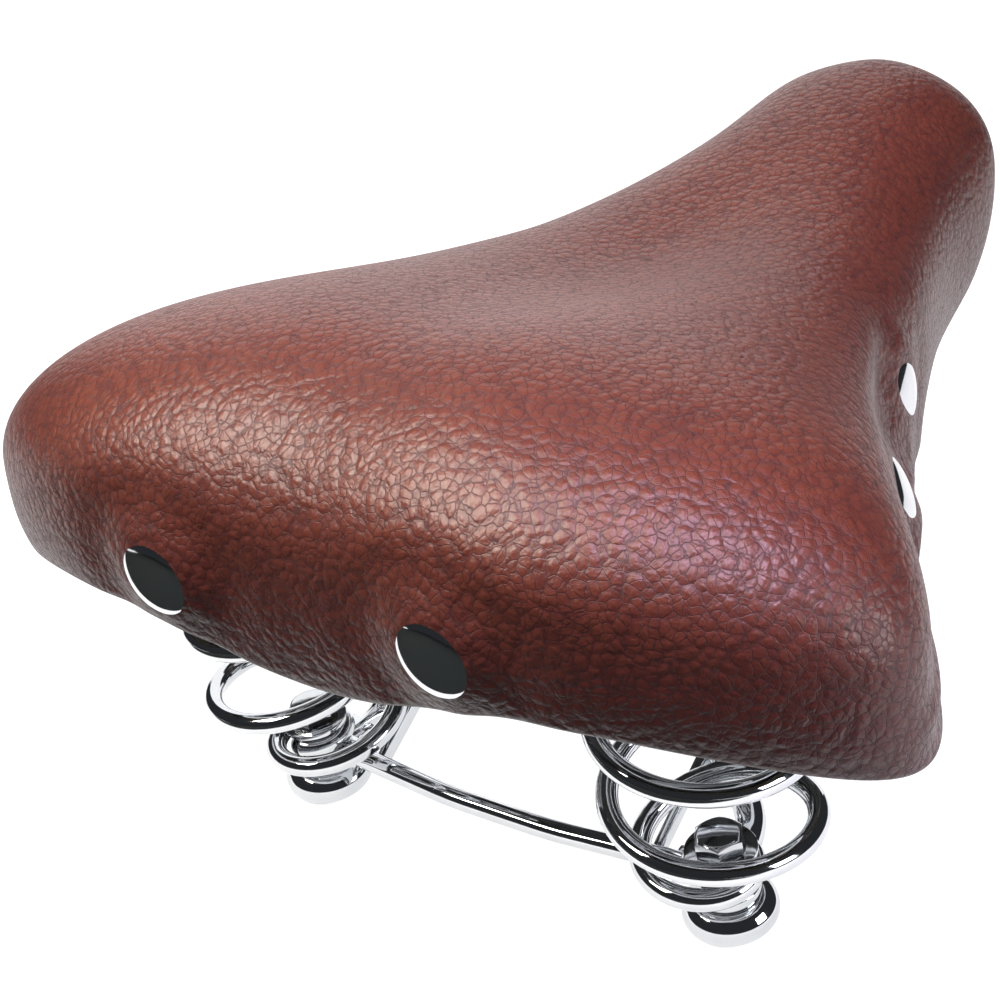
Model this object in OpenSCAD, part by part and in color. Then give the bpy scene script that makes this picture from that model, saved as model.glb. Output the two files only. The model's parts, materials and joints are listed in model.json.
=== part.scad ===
// Sprung bicycle saddle: padded riveted cover, base shell, coil springs, wire rails and post clamp.
// Shapes are drawn from the rear middle of the cover's lower edge: +X forward, +Y left, +Z up.
// The finished part is then moved so that the centre of the seat-post bore is the origin.

/* [Cover] */
// Length of the padded top, rear to nose
saddle_length = 271; // [258:1:282]
// Full width across the wings
saddle_width = 228; // [218:1:238]
// Thickness of the cover material
cover_t = 2; // [1.5:0.1:2.5]
// Depth of the shallow channel along the middle
dish_depth = 4.5; // [0:0.5:6]

/* [Base shell] */
// Wall thickness of the base shell
shell_t = 3; // [2.5:0.1:3.5]
// Foam thickness between cover and base shell flange
side_foam_t = 7; // [6:0.5:8]

/* [Rivets] */
// Diameter of the domed rivet heads
rivet_head_d = 18.5; // [16:0.5:19]
// Diameter of the rivet shanks
rivet_shank_d = 5; // [4:0.1:5]

/* [Springs] */
// Diameter of the spring wire
spring_wire_d = 5; // [4:0.1:5]
// Mean radius of the spring coils
coil_r = 21.6; // [20.5:0.1:22]
// Backward lean of the spring feet
foot_lean = 9; // [7:0.5:10]

/* [Rails] */
// Diameter of the rail wire
rail_d = 7; // [6.8:0.1:7.1]
// Distance between the two rail centre lines at the clamp
rail_spacing = 44; // [43:0.5:45]

/* [Post clamp] */
// Diameter of the seat-post bore
post_bore_d = 22.2; // [22:0.1:22.4]
// Height of the clamp band
band_h = 30; // [24:1:32]

/* [Hidden] */
$fn = 48;

// Seat-post bore, clamp bolt and nose hinge, measured from the rear of the cover
bore_x = 144;
bore_z = -32;
bolt_x = 125;
hinge_x = 229;
hinge_z = 19.5;
rail_z = -22;

// Lower edge of the cover, as control points of a closed smooth curve, rear middle to nose:
// x, y, edge height, straight skirt height, fullness of the shoulder, inward tuck of the edge
half_edge = [
    [4, 0, -8.5, 32, 2.9, 5],
    [-8.5, 53.5, 17, 25, 2.4, 2],
    [29, 132, -6, 18, 2, 0],
    [69.5, 94.5, -1.5, 23.5, 2.3, -8.5],
    [131.5, 53.5, 15, 26.5, 2.4, -16],
    [149, 60, -4.5, 26, 2.4, 0.5],
    [214.5, 33, 0, 26.5, 2.3, 4.5],
    [253, 37.5, 15.5, 25, 2.3, 4],
    [276.5, 0, 7.5, 23, 2.2, 7.5]
];
// Height of the crown along the middle, as control values a quarter of the length apart
crown = [19, 70.5, 65, 47.5, 61, 73.5, 53];
kx = saddle_length / 271;
ky = saddle_width / 228;
crown_span = 269;
right_half = [for (i = [7:-1:1]) [for (j = [0:5]) j == 1 ? -half_edge[i][j] : half_edge[i][j]]];
edge = concat(half_edge, right_half);
turn_u = len(edge);
spine_rear = 54;
spine_front = 231;
columns = 72;
skirt_part = 0.25;
dish_x = 110;
dish_half_w = 22;
dish_half_l = 70;

// Base shell levels: flange foot, plate underside and plate top
flange_z = 12;
plate_top = 29;
plate_z = plate_top - shell_t;
gap = 0.15;
flange_inset = cover_t + side_foam_t;
foam_edge_lift = 4;
foam_rim_tuck = 1.5;
foam_rim_slack = 0.5;
mid_skirt = 0.6 * skirt_part;
dome_steps = [0, 12, 24, 36, 48, 60, 70, 78, 84, 88];

// Rivet places: edge unit along the edge curve, and height
rear_rivets_at = [[0.65, 21]];
side_rivets_at = [[3.61, 17], [4.6, 21.2]];
rivet_head_h = 3;
rivet_sink = 0.4;
shank_gap = 0.1;
rivet_upset = 1.7;
rivet_upset_h = 1.6;
backing_r = 5.5;
backing_t = 1;
boss_r = 6.2;
boss_min = 0.8;
boss_root = 2.4;
rivet_reach = 26;
rivet_tail = backing_t + rivet_upset_h / 2 + gap + shank_gap;

// Spring foot: centre of the cup rim on the left side, and heights of the stack along its axis
foot_x = 61.3;
foot_y = 57;
foot_z = -67.8;
cup_wall_s = 1.9;
cup_top_s = 4.1;
rail_eye_s = 4.3;
rail_eye_t = 3;
bar_eye_s = 7.6;
bar_eye_t = 2.4;
coil_s = 12.8;
washer_s = 15.8;
washer_t = 1.2;
washer_r = 8;
foot_nut_z = -2.4;
foot_nut_h = 4.2;
foot_bolt_r = 3;
foot_head_h = 4.3;
foot_hex_r = 5.77;

// Coil spring: all lengths along the wire are in turns from the start of the upward spiral
eye_r = 6.7;
eye_turns = 0.6;
spiral_turns = 0.83;
phase_turns = 0.13;
rise_from = 0.2;
rise_ease = 0.55;
end_turns = 4.92;
flat_turns = 0.45;
flat_ease = 0.35;
coil_top_z = plate_z - 0.2 - spring_wire_d / 2;
coil_bottom_z = foot_z + coil_s * cos(foot_lean);
climb_turns = end_turns - rise_from - rise_ease / 2 - flat_turns - flat_ease / 2;
pitch = (coil_top_z - coil_bottom_z) / climb_turns;
rings_per_turn = 18;
wire_sides = 10;
top_coil_x = foot_x - coil_s * sin(foot_lean) - tan(foot_lean) * (coil_top_z - coil_bottom_z);

// Cross bar and rails
bar_d = 5;
bar_mid_x = 56;
bar_mid_y = 14;
bar_bend_r = 100;
tongue_w = 9;
elbow_sides = 16;
elbow_step = 0.02;
elbow_lap = 1;
eye_disc_r = 7.5;
rail_bend_r = 9;
brace_y = 39;
brace_t = 2.2;
brace_h = 3.6;
brace_drop = 2;
rail_low = foot_point(rail_eye_s + rail_eye_t / 2, 21, 5);
rail_rear = [91, rail_spacing / 2, rail_z];
rail_front = [157, rail_spacing / 2, rail_z];
rail_nose = [hinge_x, 14, hinge_z];

// Ribs under the base shell
rib_rear = 76;
rib_front = 204;
rib_y = 14;
rib_t = 3;
rib_h = 4;
cross_rib_x = [84, 110, 136, 162];
cross_rib_y = 28;

// Nose hinge and spring straps
nose_screw_x = [hinge_x - 11, hinge_x + 11];
nose_screw_r = 2;
nose_hole_r = 2.1;
nose_nut_r = 6;
nose_nut_h = 3;
nose_plate_t = 2;
clip_w = 12;
clip_t = 2;
clip_half = 15;
clip_bore_r = rail_d / 2 + 0.1;
nose_plate_half = 17;
nose_plate_w = 16;
nose_head_r = 3.5;
nose_head_h = 2.5;
strap_t = 1.2;
strap_w = 12;
strap_clearance = 0.8;
cradle_in = 4.3;
cradle_out = 5;
strap_head_r = 4.6;
strap_head_h = 3.5;
strap_bolt_r = 2.5;
strap_hole_r = 2.6;
strap_nut_r = 8;
strap_nut_h = 4;
nut_lift = 0.05;
pocket_h = 6;

// Post clamp
clamp_bolt_r = 4;
band_wall = 2.5;
ear_y = 6.5;
slit_w = 3;
ear_r = 9;
spacer_r = 6.5;
plate_len = 28;
inner_plate_y = 14.4;
rail_y = rail_spacing / 2;
plate_gap = 0.8;
outer_plate_t = 5;
groove_r = rail_d / 2 + 0.1;
plate_half_h = 6;
inner_foot_r = 9;
outer_foot_r = 8;
clamp_hex_r = 7.5;
clamp_head_h = 5.3;
clamp_nut_h = 6.5;
clamp_washer_r = 8;
clamp_washer_t = 1.6;
washer_y = rail_y + plate_gap + outer_plate_t + 0.05;
head_y = washer_y + clamp_washer_t + 0.05;

// ---- small functions ----
function unit(v) = v / norm(v);
function clamp01(t) = min(1, max(0, t));
function ease(t) = t * t * (3 - 2 * t);
function mirror_y(p) = [p[0], -p[1], p[2]];
function weights(t) = [
    pow(1 - t, 3) / 6,
    (3 * pow(t, 3) - 6 * pow(t, 2) + 4) / 6,
    (-3 * pow(t, 3) + 3 * pow(t, 2) + 3 * t + 1) / 6,
    pow(t, 3) / 6
];
// Point on a smooth curve through the closed list c
function loop_curve(c, u) =
    let (n = len(c), i = floor(u), w = weights(u - i))
    w[0] * c[(i + n - 1) % n] + w[1] * c[i % n] + w[2] * c[(i + 1) % n] + w[3] * c[(i + 2) % n];
// Value on a smooth curve through the open list c, at s from 0 to 1
function open_curve(c, s) =
    let (q = min(clamp01(s) * (len(c) - 3), len(c) - 3.001), i = floor(q), w = weights(q - i))
    w[0] * c[i] + w[1] * c[i + 1] + w[2] * c[i + 2] + w[3] * c[i + 3];
function spine_x(x) = spine_rear + (spine_front - spine_rear) * x / crown_span;
// Point of the padded form at edge unit u, height share v (0 edge, 1 crown), moved inward by inset
function skin(u, v, inset) =
    let (
        e = loop_curve(edge, u),
        sx = spine_x(e[0]),
        reach = norm([e[0] - sx, e[1]]),
        dir = [e[0] - sx, e[1]] / reach,
        w = clamp01(v / skirt_part),
        a = clamp01((v - skirt_part) / (1 - skirt_part)) * 90,
        share = pow(cos(a), 2 / e[4]),
        lift = pow(sin(a), 2 / e[4]),
        radius = (reach - inset) * share - e[5] * pow(1 - w, 2),
        x = sx + dir[0] * radius,
        y = dir[1] * radius,
        shoulder = e[2] + e[3],
        top = open_curve(crown, x / crown_span) - inset,
        groove = dish_depth * exp(-pow(y / dish_half_w, 2) - pow((x - dish_x) / dish_half_l, 2)),
        z = v < skirt_part ? e[2] + e[3] * w : shoulder + (top - shoulder - groove) * lift
    )
    [x * kx, y * ky, z];
// Height share at which the skirt reaches height z
function skirt_v(u, z) =
    let (e = loop_curve(edge, u))
    skirt_part * clamp01((z - e[2]) / e[3]);
// Outward direction of the skirt
function skirt_normal(u, v) =
    unit(cross(skin(u, v + 0.02, 0) - skin(u, v, 0), skin(u + 0.02, v, 0) - skin(u, v, 0)));
function ring(v, inset) = [for (i = [0:columns - 1]) skin(turn_u * i / columns, v, inset)];
// Outline of the form at its lower edge, moved inward, as a flat list
function outline(inset) =
    [for (p = ring(skirt_part, inset)) [p[0], p[1]]];
// A point at the left spring foot: s up along its axis, then forward and inward
function foot_point(s, forward, inward) = [
    foot_x - s * sin(foot_lean) + forward * cos(foot_lean),
    foot_y - inward,
    foot_z + s * cos(foot_lean) + forward * sin(foot_lean)
];

// Points of a circle of radius r round c, in the plane of the unit vectors x and z
function circle_at(c, r, x, z) = [
    for (j = [0:elbow_sides - 1])
        let (a = 360 * j / elbow_sides)
        c + r * (cos(a) * x - sin(a) * z)
];

// ---- helpers ----
module place() {
    translate([-bore_x, 0, -bore_z]) children();
}
module at_foot(side) {
    translate([foot_x, side * foot_y, foot_z]) rotate([0, -foot_lean, 0]) children();
}
module both_sides() {
    for (side = [1, -1]) at_foot(side) children();
}
// Triangles of the walls and the lid of a stack of rings, numbered from first
function stack_faces(n, rows, first) = concat(
    [
        for (k = [0:rows - 2]) for (i = [0:n - 1])
            let (a = first + k * n + i, b = first + k * n + (i + 1) % n)
            for (f = [[a, b, b + n], [a, b + n, a + n]]) f
    ],
    [
        for (i = [0:n / 2 - 1])
            let (lid = first + (rows - 1) * n, a = i, b = i + 1, c = n - i - 1, d = (n - i) % n)
            for (f = [[a, b, c], [a, c, d]])
                if (f[0] != f[1] && f[1] != f[2] && f[0] != f[2]) [for (k = f) k + lid]
    ]
);
// Shell between an outer and an inner stack of rings, joined by a strip along their lower rims
module ring_shell(outer, inner) {
    n = len(outer[0]);
    first_in = len(outer) * n;
    outside = stack_faces(n, len(outer), 0);
    inside = [for (f = stack_faces(n, len(inner), first_in)) [f[0], f[2], f[1]]];
    rim = [
        for (i = [0:n - 1])
            let (a = i, b = (i + 1) % n)
            for (f = [[a, b + first_in, b], [a, a + first_in, b + first_in]]) f
    ];
    points = [for (r = concat(outer, inner)) for (p = r) p];
    polyhedron(points, concat(outside, inside, rim), convexity = 6);
}
// Closed tube through stacked rings of equal length, ends capped flat
module tube(rings) {
    n = len(rings[0]);
    last = (len(rings) - 1) * n;
    walls = [
        for (k = [0:len(rings) - 2]) for (j = [0:n - 1])
            let (a = k * n + j, b = k * n + (j + 1) % n)
            for (f = [[a, b + n, b], [a, a + n, b + n]]) f
    ];
    ends = [[for (j = [0:n - 1]) j], [for (j = [n - 1:-1:0]) last + j]];
    polyhedron([for (r = rings) for (p = r) p], concat(walls, ends), convexity = 10);
}
// Round wire of radius r through points p, with bends of radius bend at the corners
module wire(p, r, bend) {
    last = len(p) - 1;
    turn = [
        for (i = [0:last])
            i == 0 || i == last ? 0 : acos(unit(p[i] - p[i - 1]) * unit(p[i + 1] - p[i]))
    ];
    trim = [for (a = turn) bend * tan(a / 2)];
    for (i = [0:last - 1]) {
        d = unit(p[i + 1] - p[i]);
        rod(p[i] + d * trim[i], p[i + 1] - d * trim[i + 1], r);
    }
    for (i = [1:last - 1])
        elbow(p[i], unit(p[i] - p[i - 1]), unit(p[i + 1] - p[i]), turn[i], r - elbow_step, bend);
}
// Bend at corner p from direction d1 to d2, with each end let into its straight length
module elbow(p, d1, d2, turn, r, bend) {
    c = p + unit(d2 - d1) * bend / cos(turn / 2);
    x = unit(p - d1 * bend * tan(turn / 2) - c);
    z = cross(x, d1);
    steps = max(3, ceil(turn / 9));
    angles = [for (k = [0:steps]) turn * k / steps];
    arc = [
        for (a = angles)
            let (out = cos(a) * x + sin(a) * d1)
            circle_at(c + bend * out, r, out, z)
    ];
    last_out = cos(turn) * x + sin(turn) * d1;
    lead = circle_at(c + bend * x - elbow_lap * d1, r, x, z);
    tail = circle_at(c + bend * last_out + elbow_lap * d2, r, last_out, z);
    tube(concat([lead], arc, [tail]));
}
module rod(a, b, r) {
    d = b - a;
    translate(a) rotate([0, acos(d[2] / norm(d)), atan2(d[1], d[0])]) cylinder(h = norm(d), r = r);
}
module hexagon(r, h) {
    cylinder(h = h, r = r, $fn = 6);
}

// ---- rivets ----
module at_rivet(r, side) {
    v = skirt_v(r[0], r[1]);
    p = skin(r[0], v, 0);
    n = skirt_normal(r[0], v);
    mirror([0, side < 0 ? 1 : 0, 0])
        translate(p) rotate([0, acos(n[2]), atan2(n[1], n[0])]) children();
}
// Distance along a rivet at place r from the cover's face to its seat inside the base shell
function seat_depth(r) =
    let (
        e = loop_curve(edge, r[0]),
        w = clamp01((r[1] - e[2]) / e[3]),
        dir = unit([(e[0] - spine_x(e[0])) * kx, e[1] * ky, 0]),
        n = skirt_normal(r[0], skirt_part * w),
        level = unit([n[0], n[1], 0]),
        to_wall = (flange_inset + shell_t - e[5] * pow(1 - w, 2)) * (dir * level)
    )
    (to_wall + backing_r * abs(n[2])) / (n * level) + boss_min;
// Round boss on the inside of the flange, cut square to the rivet at its seat
module rivet_boss(r) {
    n = skirt_normal(r[0], skirt_v(r[0], r[1]));
    wall = boss_min * norm([n[0], n[1]]) + backing_r * abs(n[2]);
    at_rivet(r, 1) translate([0, 0, -seat_depth(r)]) difference() {
        rotate([0, asin(n[2]), 0]) translate([0, 0, wall - boss_r])
            cylinder(h = boss_root + boss_r, r = boss_r);
        translate([0, 0, -20]) cylinder(h = 20, r = 3 * boss_r);
    }
}
module rivet(r) {
    dome_r = (pow(rivet_head_d / 2, 2) + pow(rivet_head_h, 2)) / (2 * rivet_head_h);
    tail = seat_depth(r) + rivet_tail;
    translate([0, 0, -rivet_sink]) intersection() {
        translate([0, 0, rivet_head_h - dome_r]) sphere(r = dome_r);
        cylinder(h = rivet_head_h + 1, d = rivet_head_d);
    }
    translate([0, 0, -tail]) cylinder(h = tail, d = rivet_shank_d);
    translate([0, 0, -tail - rivet_upset_h / 2])
        cylinder(h = rivet_upset_h, r = rivet_shank_d / 2 + rivet_upset);
}
module rivet_hole() {
    translate([0, 0, -rivet_sink]) cylinder(h = 6, d = rivet_head_d + 2 * shank_gap);
    translate([0, 0, -rivet_reach]) cylinder(h = rivet_reach + 6, d = rivet_shank_d + 2 * shank_gap);
}
module rivet_holes() {
    for (side = [1, -1]) for (r = concat(rear_rivets_at, side_rivets_at)) at_rivet(r, side) rivet_hole();
}
// Room for the washers of the rear rivets beside the underside of the plate
module washer_reliefs() {
    for (side = [1, -1]) for (r = rear_rivets_at)
        at_rivet(r, side) translate([0, 0, -rivet_reach])
            cylinder(h = rivet_reach - seat_depth(r) - shank_gap, r = backing_r + 0.3);
}
module rivet_backing(r) {
    translate([0, 0, -seat_depth(r) - gap - backing_t]) difference() {
        cylinder(h = backing_t, r = backing_r);
        translate([0, 0, -1]) cylinder(h = backing_t + 2, d = rivet_shank_d + 2 * shank_gap);
    }
}
module rear_rivets() {
    color("silver") place() for (side = [1, -1]) for (r = rear_rivets_at) at_rivet(r, side) rivet(r);
}
module side_rivets() {
    color("silver") place() for (side = [1, -1]) for (r = side_rivets_at) at_rivet(r, side) rivet(r);
}
module rivet_washers() {
    color("gray") place() for (side = [1, -1])
        for (r = concat(rear_rivets_at, side_rivets_at)) at_rivet(r, side) rivet_backing(r);
}

// ---- padded top ----
function dome_rings(inset) =
    [for (a = dome_steps) ring(skirt_part + (1 - skirt_part) * a / 90, inset)];
module cover() {
    skirt = [0, mid_skirt];
    color("saddlebrown") place() difference() {
        ring_shell(
            concat([for (v = skirt) ring(v, 0)], dome_rings(0)),
            concat([for (v = skirt) ring(v, cover_t)], dome_rings(cover_t))
        );
        rivet_holes();
    }
}
// Height share of the foam's lower rim: above the cover's edge, and above the part that tucks in
function foam_rim_v(u) =
    let (e = loop_curve(edge, u), tuck = max(e[5], foam_rim_tuck))
    skirt_part * max(foam_edge_lift / e[3], 1 - sqrt(foam_rim_tuck / tuck));
// Foam between cover and base shell, whole; the two nodes below share it out at the plate's level
module foam_form() {
    inset = cover_t + gap;
    rim = [
        for (i = [0:columns - 1])
            let (u = turn_u * i / columns)
            skin(u, foam_rim_v(u), inset + foam_rim_slack)
    ];
    wall = outline(flange_inset - gap);
    inner_rim = [for (i = [0:columns - 1]) [wall[i][0], wall[i][1], rim[i][2]]];
    roof = [for (p = wall) [p[0], p[1], plate_top + gap]];
    difference() {
        ring_shell(concat([rim, ring(mid_skirt, inset)], dome_rings(inset)), [inner_rim, roof]);
        rivet_holes();
        nut_pockets();
    }
}
// Block of height h on level z, wider than the saddle
module slab(z, h) {
    translate([-20, -saddle_width, z]) cube([saddle_length + 40, 2 * saddle_width, h]);
}
module foam_pad() {
    color("khaki") place() difference() {
        foam_form();
        slab(-60, 60 + plate_top + 2 * gap);
    }
}
module side_padding() {
    color("khaki") place() difference() {
        foam_form();
        slab(plate_top, 80);
    }
}
module nut_pockets() {
    for (side = [1, -1])
        translate([top_coil_x, side * foot_y, plate_top - 1])
            cylinder(h = pocket_h + 1, r = strap_nut_r + 1);
    for (x = nose_screw_x)
        translate([x, 0, plate_top - 1]) cylinder(h = pocket_h, r = nose_nut_r + 1);
}
module base_shell() {
    color("dimgray") place() difference() {
        union() {
            difference() {
                translate([0, 0, flange_z])
                    linear_extrude(plate_top - flange_z) polygon(outline(flange_inset));
                translate([0, 0, flange_z - 1])
                    linear_extrude(plate_z - flange_z + 1) polygon(outline(flange_inset + shell_t));
            }
            for (side = [1, -1])
                translate([rib_rear, side * rib_y - rib_t / 2, plate_z - rib_h])
                    cube([rib_front - rib_rear, rib_t, rib_h + 1]);
            for (x = cross_rib_x)
                translate([x, -cross_rib_y, plate_z - rib_h]) cube([rib_t, 2 * cross_rib_y, rib_h + 1]);
            for (r = concat(rear_rivets_at, side_rivets_at)) {
                rivet_boss(r);
                mirror([0, 1, 0]) rivet_boss(r);
            }
        }
        rivet_holes();
        washer_reliefs();
        for (side = [1, -1])
            translate([top_coil_x, side * foot_y, plate_z - 1]) cylinder(h = shell_t + 2, r = strap_hole_r);
        for (x = nose_screw_x)
            translate([x, 0, plate_z - 1]) cylinder(h = shell_t + 2, r = nose_hole_r);
    }
}

// ---- nose hinge ----
module nose_plate() {
    color("lightgray") place() difference() {
        translate([hinge_x - nose_plate_half, -nose_plate_w / 2, plate_z - nose_plate_t])
            cube([2 * nose_plate_half, nose_plate_w, nose_plate_t]);
        for (x = nose_screw_x)
            translate([x, 0, plate_z - nose_plate_t - 1]) cylinder(h = nose_plate_t + 2, r = nose_hole_r);
    }
}
// Loop round the nose wire, open side up, closed by its own flat top
module nose_clip() {
    outer_r = clip_bore_r + clip_t;
    top = plate_z - nose_plate_t - hinge_z;
    color("silver") place() translate([hinge_x, 0, hinge_z]) difference() {
        union() {
            rotate([90, 0, 0]) cylinder(h = clip_w, r = outer_r, center = true);
            translate([-outer_r, -clip_w / 2, 0]) cube([2 * outer_r, clip_w, top]);
            translate([-clip_half, -clip_w / 2, top - clip_t]) cube([2 * clip_half, clip_w, clip_t]);
        }
        translate([-clip_half, -clip_w, top]) cube([2 * clip_half, 2 * clip_w, outer_r]);
        rotate([90, 0, 0]) cylinder(h = clip_w + 2, r = clip_bore_r, center = true);
        for (x = nose_screw_x)
            translate([x - hinge_x, 0, 0]) cylinder(h = top + 1, r = nose_hole_r);
    }
}
module nose_screws() {
    head_z = plate_z - nose_plate_t - clip_t;
    color("silver") place() for (x = nose_screw_x) translate([x, 0, head_z - gap]) {
        translate([0, 0, -nose_head_h]) cylinder(h = nose_head_h, r = nose_head_r);
        translate([0, 0, -0.5]) cylinder(h = plate_top - head_z + nose_nut_h + 0.5, r = nose_screw_r);
    }
}
module nose_nuts() {
    color("silver") place() for (x = nose_screw_x)
        translate([x, 0, plate_top + nut_lift]) tee_nut(nose_nut_r, 1, 4, nose_nut_h, nose_screw_r + 0.05);
}
// Flanged nut: disc of radius r and height t, then a hexagon of radius hex_r up to height h
module tee_nut(r, t, hex_r, h, bore_r) {
    difference() {
        union() {
            cylinder(h = t, r = r);
            hexagon(hex_r, h);
        }
        translate([0, 0, -1]) cylinder(h = h + 2, r = bore_r);
    }
}

// ---- spring straps ----
// Bar across the top coil: flat in the middle, stepped down to cradle the wire at each end
module strap(side) {
    step_in = coil_r - cradle_in;
    step_out = coil_r + cradle_out;
    low = -spring_wire_d - strap_clearance;
    rise = [
        [step_in, 0], [step_in, low], [step_out, low], [step_out, 0],
        [step_out + strap_t, 0], [step_out + strap_t, low - strap_t],
        [step_in - strap_t, low - strap_t], [step_in - strap_t, -strap_t]
    ];
    other = [for (i = [len(rise) - 1:-1:0]) [-rise[i][0], rise[i][1]]];
    color("silver") place() translate([top_coil_x, side * foot_y, plate_z - 0.05]) difference() {
        rotate([90, 0, 0]) translate([0, 0, -strap_w / 2])
            linear_extrude(strap_w) polygon(concat(rise, other));
        translate([0, 0, -strap_t - 1]) cylinder(h = strap_t + 2, r = strap_hole_r);
    }
}
module spring_strap_left() {
    strap(1);
}
module spring_strap_right() {
    strap(-1);
}
module strap_bolts() {
    color("silver") place() for (side = [1, -1])
        translate([top_coil_x, side * foot_y, plate_z - strap_t - 0.1]) {
            translate([0, 0, -strap_head_h]) hexagon(strap_head_r, strap_head_h);
            translate([0, 0, -1]) cylinder(h = shell_t + strap_t + strap_nut_h + 1, r = strap_bolt_r);
        }
}
module strap_nuts() {
    color("silver") place() for (side = [1, -1])
        translate([top_coil_x, side * foot_y, plate_top + nut_lift])
            tee_nut(strap_nut_r, 1.2, 4.8, strap_nut_h, strap_bolt_r + 0.05);
}

// ---- coil springs ----
function coil_radius(t) = eye_r + (coil_r - eye_r) * ease(clamp01(t / spiral_turns));
// Height climbed after t turns: eased start, even pitch, eased flat end
function coil_climb(t) =
    let (
        a = clamp01((t - rise_from) / rise_ease),
        b = clamp01((t - (end_turns - flat_turns - flat_ease)) / flat_ease),
        steady = min(t, end_turns - flat_turns - flat_ease) - rise_from - rise_ease
    )
    pitch * (rise_ease * a * a / 2 + max(0, steady) + flat_ease * (b - b * b / 2));
function coil_point(t, r) =
    let (
        h = coil_climb(t),
        share = h / (coil_top_z - coil_bottom_z),
        lean = foot_lean * (1 - pow(share, 3)),
        a = 360 * (t + phase_turns),
        x = foot_x - coil_s * sin(foot_lean) - tan(foot_lean) * h
    )
    [x + r * cos(a) * cos(lean), foot_y + r * sin(a), coil_bottom_z + h + r * cos(a) * sin(lean)];
module coil_spring(side) {
    steps = round((end_turns + eye_turns) * rings_per_turn);
    turns = [for (k = [0:steps]) -eye_turns + (end_turns + eye_turns) * k / steps];
    path = [for (t = turns) coil_point(t, coil_radius(t))];
    rings = [
        for (k = [0:steps])
            let (
                d = unit(path[min(k + 1, steps)] - path[max(k - 1, 0)]),
                x = unit(cross(d, [0, 0, 1])),
                y = cross(x, d)
            )
            [
                for (j = [0:wire_sides - 1])
                    path[k] + spring_wire_d / 2 * (cos(-36 * j) * x + sin(-36 * j) * y)
            ]
    ];
    color("silver") place() mirror([0, side < 0 ? 1 : 0, 0]) tube(rings);
}
module spring_left() {
    coil_spring(1);
}
module spring_right() {
    coil_spring(-1);
}

// ---- rails and cross bar ----
module wire_eye(side, s, t, heading) {
    at_foot(side) translate([0, 0, s]) difference() {
        union() {
            cylinder(h = t, r = eye_disc_r);
            rotate([0, 0, -side * heading]) translate([0, -tongue_w / 2, 0]) cube([13.5, tongue_w, t]);
        }
        translate([0, 0, -1]) cylinder(h = t + 2, r = foot_bolt_r + shank_gap);
    }
}
module seat_rails() {
    eye_mid = foot_point(rail_eye_s + rail_eye_t / 2, 0, 0);
    start = eye_mid + 12.5 * unit(rail_low - eye_mid);
    left = [start, rail_low, rail_rear, rail_front, rail_nose];
    right = [for (i = [4:-1:0]) mirror_y(left[i])];
    color("silver") place() {
        wire(concat(left, right), rail_d / 2, rail_bend_r);
        for (side = [1, -1]) wire_eye(side, rail_eye_s, rail_eye_t, atan2(5, 21));
    }
}
module cross_bar() {
    start = foot_point(bar_eye_s + bar_eye_t / 2, 0, 11.5);
    mid = [bar_mid_x, bar_mid_y, start[2]];
    color("silver") place() {
        wire([start, mid, mirror_y(mid), mirror_y(start)], bar_d / 2, bar_bend_r);
        for (side = [1, -1]) wire_eye(side, bar_eye_s, bar_eye_t, 90);
    }
}
module rail_braces() {
    share = (rail_low[1] - brace_y) / (rail_low[1] - rail_rear[1]);
    top = rail_low + share * (rail_rear - rail_low);
    low = foot_point(bar_eye_s + bar_eye_t / 2, -0.8, foot_y - brace_y);
    d = top - low;
    color("silver") place() for (side = [1, -1])
        translate([low[0], side * brace_y, low[2] - brace_drop]) rotate([0, -atan2(d[2], d[0]), 0])
            translate([1.5, -brace_t / 2, -brace_h / 2]) cube([norm(d) - 3.5, brace_t, brace_h]);
}

// ---- spring feet ----
module foot_bolts() {
    color("silver") place() both_sides() {
        translate([0, 0, washer_s + washer_t + 0.05]) hexagon(foot_hex_r, foot_head_h);
        translate([0, 0, foot_nut_z - 0.2]) cylinder(h = washer_s + washer_t + 3, r = foot_bolt_r);
    }
}
module foot_washers() {
    color("lightgray") place() both_sides() translate([0, 0, washer_s]) difference() {
        cylinder(h = washer_t, r = washer_r);
        translate([0, 0, -1]) cylinder(h = washer_t + 2, r = foot_bolt_r + shank_gap);
    }
}
module foot_nuts() {
    color("gray") place() both_sides() translate([0, 0, foot_nut_z]) difference() {
        hexagon(foot_hex_r, foot_nut_h);
        translate([0, 0, -1]) cylinder(h = foot_nut_h + 2, r = foot_bolt_r + 0.05);
    }
}
module spring_cup(side) {
    profile = [
        [foot_bolt_r + shank_gap, cup_wall_s], [foot_bolt_r + shank_gap, cup_top_s],
        [8.2, cup_top_s], [9.6, 2.8], [10.5, 1.4], [10.8, 0], [10.6, -1.4], [9.9, -2.5],
        [9.2, -2.8], [8.4, -2.8], [8.4, cup_wall_s]
    ];
    color("silver") place() at_foot(side) rotate_extrude() polygon(profile);
}
module spring_cup_left() {
    spring_cup(1);
}
module spring_cup_right() {
    spring_cup(-1);
}

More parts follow.
